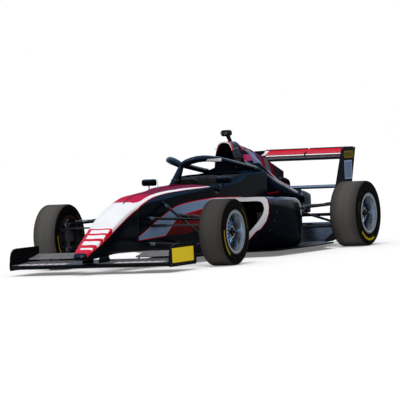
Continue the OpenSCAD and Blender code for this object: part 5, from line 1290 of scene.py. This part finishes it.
# %% [markdown]
# ## Harness
# A harness has six flat straps: two over the shoulders, two over the lap and two between the legs.
# They meet in a round buckle that lets go of all of them with one turn.
# Each strap is a thin flat band carried along the seat's skin, where the probe finds it.
# Cloth could be draped here, but taut straps hardly sag, so a smoothed path is enough for them.

# %% Lay the straps on the seat
STRAP, STRAP_LIFT, LEG_LIFT, ABOVE_SEAT = rounded(0.046, 0.0028, 0.0012, 2), 0.006, 0.009, 0.75
STRAPS = [((-0.372, 0.078), (-0.018, 0.026), 18, STRAP_LIFT),
          ((-0.03, 0.15), (0.0, 0.022), 10, STRAP_LIFT),
          ((0.13, 0.034), (0.014, 0.014), 8, LEG_LIFT)]
WEB_RED, WEB_SHADE, WEB_RATE, WEB_SLANT = (0.3, 0.01, 0.016), (0.17, 0.006, 0.01), 2200.0, 0.4
THREADS_PER_METRE, STRAP_SMOOTHINGS = 900.0, 3


def smoother(path):
    """A path whose inner points move towards their neighbours."""
    inner = [(a + 2 * b + c) / 4 for a, b, c in zip(path, path[1:], path[2:])]
    return [path[0]] + inner + [path[-1]]


def evened(facing):
    """Directions averaged with their neighbours."""
    inner = [(a + b + c).normalized() for a, b, c in zip(facing, facing[1:], facing[2:])]
    return [facing[0]] + inner + [facing[-1]]


def strap(shape, start, end, count, lift):
    """A band over the seat between two places seen from above."""
    path, facing = [], []
    for i in range(count + 1):
        x, y = (a + (b - a) * i / count for a, b in zip(start, end))
        spot, normal = probe("seat", (x, y, ABOVE_SEAT), DOWN)
        path.append(spot + normal * lift)
        facing.append(normal)
    for _ in range(STRAP_SMOOTHINGS):
        path, facing = smoother(path), evened(facing)
    swept(shape, path, STRAP, facing)


straps = bmesh.new()
for side in SIDES:
    for start, end, count, lift in STRAPS:
        strap(straps, (start[0], side * start[1]), (end[0], side * end[1]), count, lift)
webbing = Finish("red_webbing", rough=0.7)
slanted = webbing.calc("ADD", webbing.x, webbing.calc("MULTIPLY", webbing.y, WEB_SLANT))
ribs = webbing.spread(webbing.wave(slanted, WEB_RATE), -1, 1)
cross = webbing.node("ShaderNodeTexChecker", webbing.place, None, None, THREADS_PER_METRE).outputs["Fac"]
webbing.colour(webbing.layer(WEB_RED, WEB_SHADE, webbing.both(ribs, cross)))
webbing.rough(webbing.noise(120.0), 0.6, 0.8)
webbing.relief(ribs, 0.0003)
built("harness_straps", webbing, "chassis", straps)

# %% Close the buckle
BUCKLE = [(0, 0.004), (0.034, 0.004), (0.036, 0.008), (0.036, 0.018), (0.031, 0.022), (0, 0.022)]
BUCKLE_AT, KNOB_LIFT, ADJUSTER_AT, ADJUSTER_LIFT = (0.0, 0.0, 0.6), 0.026, (-0.12, 0.0415), 0.0095
KNOB, ADJUSTER = rounded(0.05, 0.016, 0.006), rounded(0.056, 0.026, 0.005)
clasp = bmesh.new()


def seat_plate(outline, thick, rounding, spot, normal, lift, upper):
    """A plate that lies flat over a place on the seat."""
    set_up = normal.to_track_quat("Z", upper).to_matrix().to_4x4()
    set_up.translation = spot + normal * lift
    plate(clasp, outline, thick, set_up, rounding)


spot, normal = probe("seat", BUCKLE_AT, DOWN)
turned(clasp, BUCKLE, spot, normal, 28)
seat_plate(KNOB, 0.007, 0.002, spot, normal, KNOB_LIFT, "Y")
for side in SIDES:
    spot, normal = probe("seat", (ADJUSTER_AT[0], side * ADJUSTER_AT[1], ABOVE_SEAT), DOWN)
    seat_plate(ADJUSTER, 0.003, 0.001, spot, normal, ADJUSTER_LIFT, "X")
built("harness_buckle", dark_steel, "chassis", clasp)

# %% [markdown]
# ## Fasteners
# Body panels are held by quarter-turn screws, so that a mechanic can lift them off in a minute.
# Each screw head is turned with a hollow for the key and pressed onto the skin where the probe finds it.
# Bigger bolts hold the halo's feet.

# %% Set the panel screws and the bolts
SCREW = [(0, -0.0015), (0.0078, -0.0015), (0.0078, 0.0009), (0.0064, 0.0018), (0.0036, 0.0018),
         (0.003, 0.0004), (0, 0.0004)]
BOLT = [(0, -0.003), (0.0085, -0.003), (0.0085, 0.0045), (0.007, 0.0062), (0.0045, 0.0062), (0.004, 0.002),
        (0, 0.002)]
COVER_ALONG = [0.2 * i for i in range(5)]
COVER_FRONT, COVER_HALF, COVER_TAPER = 0.66, 0.3, 1.6
OVER_COVER, OVER_POD, OVER_FLOOR = 1.2, 0.9, 0.09
POD_TOP_ALONG, POD_TOP_ACROSS, POD_SIDE_ALONG = (-0.05, -0.3, -0.55, -0.8, -1.05), 0.4, -0.1
FLOOR_ALONG, FLOOR_ACROSS = (-0.2, -0.4, -0.6, -0.8, -1.0), 0.65
NOSE_SCREWS = [(1.49, 0.3), (1.49, 0.36), (1.49, 0.42)]
POD_SCREWS = [(POD_SIDE_ALONG, height) for height in (0.14, 0.22, 0.3, 0.38)]
REAR_PLATE_SCREWS = [(-1.985, 0.8), (-2.05, 0.805), (-2.115, 0.812), (-2.19, 0.838), (-2.23, 0.853),
                     (-1.93, 0.525), (-2.0, 0.528)]
FRONT_PLATE_SCREWS = [(2.095, 0.062), (1.99, 0.058), (1.87, 0.058), (1.75, 0.058), (1.672, 0.13)]
HALO_FRONT_BOLTS, HALO_REAR_BOLTS = [(0.545, 0.69), (0.505, 0.69)], [(-0.5, 0.742), (-0.535, 0.742)]
screws, bolts = bmesh.new(), bmesh.new()


def set_in(shape, outline, name, start, direction):
    """Sets a turned head on the skin that a line from start meets."""
    spot, normal = probe(name, start, direction)
    turned(shape, outline, spot, normal, 12)


for side in SIDES:
    pod_name = "sidepod_left" if side > 0 else "sidepod_right"
    from_side = [(screws, SCREW, "nose_cone", 0.6, NOSE_SCREWS), (screws, SCREW, pod_name, 1.0, POD_SCREWS),
                 (screws, SCREW, "rear_endplates", 0.8, REAR_PLATE_SCREWS),
                 (screws, SCREW, "front_endplates", 1.0, FRONT_PLATE_SCREWS),
                 (bolts, BOLT, "halo", 0.25, HALO_FRONT_BOLTS), (bolts, BOLT, "halo", 0.6, HALO_REAR_BOLTS)]
    for shape, outline, name, beyond, places in from_side:
        for along, height in places:
            set_in(shape, outline, name, (along, side * beyond, height), (0, -side, 0))
    for back in COVER_ALONG:
        across = side * COVER_HALF * (1 - back / COVER_TAPER)
        set_in(screws, SCREW, "engine_cover", (-COVER_FRONT - back, across, OVER_COVER), DOWN)
    for along in POD_TOP_ALONG:
        set_in(screws, SCREW, pod_name, (along, side * POD_TOP_ACROSS, OVER_POD), DOWN)
    for along in FLOOR_ALONG:
        set_in(screws, SCREW, "floor_pan", (along, side * FLOOR_ACROSS, OVER_FLOOR), DOWN)
black_screws = metal("black_screws", (0.03, 0.03, 0.032), (0.35, 0.55))
built("panel_screws", black_screws, "chassis", screws)
built("halo_bolts", dark_steel, "chassis", bolts)

# %% [markdown]
# ## Glass: mirrors, camera and nose eye
# The mirrors are flat glass, silvered behind, in a hollow shell. A camera over the inlet has two lenses.
# At the nose's tip a small eye measures the height above the road.
# A lens is a turned barrel with a dome of dark coated glass in it.
# Silvered glass is made as polished metal, because the thin glass before the silver hardly shows.

# %% Fit the mirror glass
MIRROR_AT, MIRROR = (0.2935, 0.352, 0.6719), rounded(0.116, 0.047, 0.014)
FRONT_VIEW = Matrix(((0, 0, 1), (1, 0, 0), (0, 1, 0))).to_4x4()
CLEAN_SILVER, SMEARED_SILVER = (0.86, 0.88, 0.9), (0.7, 0.72, 0.75)
silvered = Finish("silvered_glass", metal=1.0, rough=0.03)
smear = silvered.noise(40.0, 4.0)
silvered.colour(silvered.layer(CLEAN_SILVER, SMEARED_SILVER, silvered.spread(smear, 0.5, 0.8)))
silvered.rough(smear, 0.02, 0.08)
mirrors = bmesh.new()
for side in SIDES:
    set_up = FRONT_VIEW.copy()
    set_up.translation = (MIRROR_AT[0], side * MIRROR_AT[1], MIRROR_AT[2])
    plate(mirrors, MIRROR, 0.004, set_up, 0.0015)
built("mirror_glass", silvered, "chassis", mirrors)

# %% Fit the lenses
BARREL = [(0.0095, -0.006), (0.013, -0.006), (0.013, 0.005), (0.0118, 0.0065), (0.0095, 0.005),
          (0.0095, -0.006)]
DOME = [(0, -0.004), (0.0096, -0.004), (0.0096, 0.0005), (0.007, 0.0024), (0.0036, 0.0034), (0, 0.0037)]
FORWARD, BACKWARD = Vector((1, 0, 0)), (-1, 0, 0)
CAMERA_EYES, NOSE_EYE = [(-0.3, 0.017, 1.057), (-0.3, -0.017, 1.057)], (2.4, 0.024, 0.155)
COAT_DARK, COAT_VIOLET = (0.01, 0.01, 0.014), (0.035, 0.022, 0.06)
coated = Finish("coated_lens", rough=0.06, Coat_Weight=1.0)
coated.colour(coated.clouds(COAT_DARK, COAT_VIOLET, 30.0, 0.3, 0.7))
coated.rough(coated.noise(50.0), 0.04, 0.1)
eyes = [(probe("camera_pod", ahead, BACKWARD)[0], FORWARD) for ahead in CAMERA_EYES]
eyes.append(probe("nose_cone", NOSE_EYE, BACKWARD))
barrels, lenses = bmesh.new(), bmesh.new()
for spot, facing in eyes:
    turned(barrels, BARREL, spot, facing, 20)
    turned(lenses, DOME, spot, facing, 20)
built("lens_barrels", dark_steel, "chassis", barrels)
built("lens_domes", coated, "chassis", lenses)

# %% [markdown]
# ## Aerials, pull loop and rain light
# A thin aerial on the cell's top sends the car's readings to the pits, and stubs by the inlet feel the air.
# A wire loop on the left flank pulls the battery switch, and marshals reach it from outside.
# The rain light at the tail is a red block that bears rows of small lamps.
# The loop follows the cell's skin by the probe, and cutting its corners twice makes the wire smooth.

# %% Stand up the aerials
ROD = [(0, -0.004), (0.009, -0.004), (0.008, 0.006), (0.003, 0.012), (0.0018, 0.07), (0.0012, 0.078),
       (0, 0.079)]
STUB = [(0, -0.004), (0.0055, -0.004), (0.005, 0.003), (0.003, 0.006), (0.003, 0.03), (0.002, 0.036),
        (0, 0.036)]
ROD_FROM, STUB_ALONG, STUB_BESIDE, STUB_HEIGHT = (0.64, -0.1, 0.9), -0.505, 0.4, 0.922
aerials = bmesh.new()
turned(aerials, ROD, probe("monocoque", ROD_FROM, DOWN)[0], (0, 0, 1), 12)
for side in SIDES:
    spot, _ = probe("airbox", (STUB_ALONG, side * STUB_BESIDE, STUB_HEIGHT), (0, -side, 0))
    turned(aerials, STUB, spot, (0, side, 0), 10)
built("aerials", bright_steel, "chassis", aerials)

# %% Hang the pull loop
LOOP = [(0.27, 0.626), (0.285, 0.612), (0.312, 0.594), (0.318, 0.58), (0.33, 0.568), (0.352, 0.562),
        (0.372, 0.566), (0.38, 0.576)]
LOOP_EYE = [(0, -0.002), (0.004, -0.002), (0.004, 0.004), (0.003, 0.006), (0, 0.006)]
LOOP_LIFT, LOOP_RADIUS, BESIDE_CELL = 0.0035, 0.002, 0.8
CORNER_CUTS, CUT_SHARES = 2, (0.25, 0.75)


def on_left_flank(x, z):
    """The place and direction of the cell's left skin in the side view."""
    return probe("monocoque", (x, BESIDE_CELL, z), (0, -1, 0))


loop, path = bmesh.new(), []
for x, z in LOOP:
    spot, normal = on_left_flank(x, z)
    path.append(spot + normal * LOOP_LIFT)
for _ in range(CORNER_CUTS):
    cut = [p.lerp(q, share) for p, q in zip(path, path[1:]) for share in CUT_SHARES]
    path = [path[0]] + cut + [path[-1]]
swept(loop, path, disc_section(LOOP_RADIUS, 8), (0, 1, 0))
for end in (path[0], path[-1]):
    turned(loop, LOOP_EYE, *on_left_flank(end.x, end.z), 12)
built("pull_loop", metal("copper_wire", (0.36, 0.2, 0.13), (0.3, 0.5)), "chassis", loop)

# %% Build the rain light's lamps
LAMP = [(0, -0.003), (0.0056, -0.003), (0.0056, 0.001), (0.004, 0.0034), (0.0018, 0.0045), (0, 0.0048)]
LAMP_ROWS, LAMP_COLUMNS = 3, 6
low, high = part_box("rain_light")
lamps = bmesh.new()
for row in range(LAMP_ROWS):
    for column in range(LAMP_COLUMNS):
        y = low[1] + (high[1] - low[1]) * (column + 0.5) / LAMP_COLUMNS
        z = low[2] + (high[2] - low[2]) * (row + 0.5) / LAMP_ROWS
        turned(lamps, LAMP, (low[0], y, z), BACKWARD, 12)
built("rain_light_lamps", lamp_lens, "chassis", lamps)

# %% [markdown]
# ## Wing brackets
# Thin brackets hold a wing's flap at its slot and stop it from bending between the end plates.
# They are cut from plate to the slot's shape. A narrow strip along the rear flap's edge trips the air.

# %% Cut the brackets
REAR_BRACKET = [(-2.14, 0.806), (-2.146, 0.826), (-2.17, 0.842), (-2.196, 0.846), (-2.188, 0.834),
                (-2.16, 0.812)]
FRONT_BRACKET = [(1.836, 0.104), (1.834, 0.118), (1.812, 0.126), (1.796, 0.126), (1.806, 0.112),
                 (1.822, 0.104)]
FRONT_BRACKETS_AT, BRACKET_ROUNDING = (0.3, 0.5, -0.3, -0.5), 0.0012
TRIP_ALONG, TRIP_HEIGHT, TRIP_ENDS = -2.2605, 0.868, (0.436, 0.006)
TRIP_SECTION = rounded(0.003, 0.014, 0.001, 1)
SIDE_VIEW = Matrix(((1, 0, 0), (0, 0, -1), (0, 1, 0))).to_4x4()
brackets = bmesh.new()


def bracket(outline, y, thick):
    """A plate in the car's side view, at a place across the car."""
    plate(brackets, outline, thick, Matrix.Translation((0, y, 0)) @ SIDE_VIEW, BRACKET_ROUNDING)


bracket(REAR_BRACKET, 0.0, 0.008)
for y in FRONT_BRACKETS_AT:
    bracket(FRONT_BRACKET, y, 0.004)
for side in SIDES:
    swept(brackets, [(TRIP_ALONG, side * y, TRIP_HEIGHT) for y in TRIP_ENDS], TRIP_SECTION)
built("wing_brackets", anodised, "chassis", brackets)

# %% [markdown]
# ## The last update
# The view layer is brought up to date once more before the scene is closed.

# %% Update the view layer
bpy.context.view_layer.update()
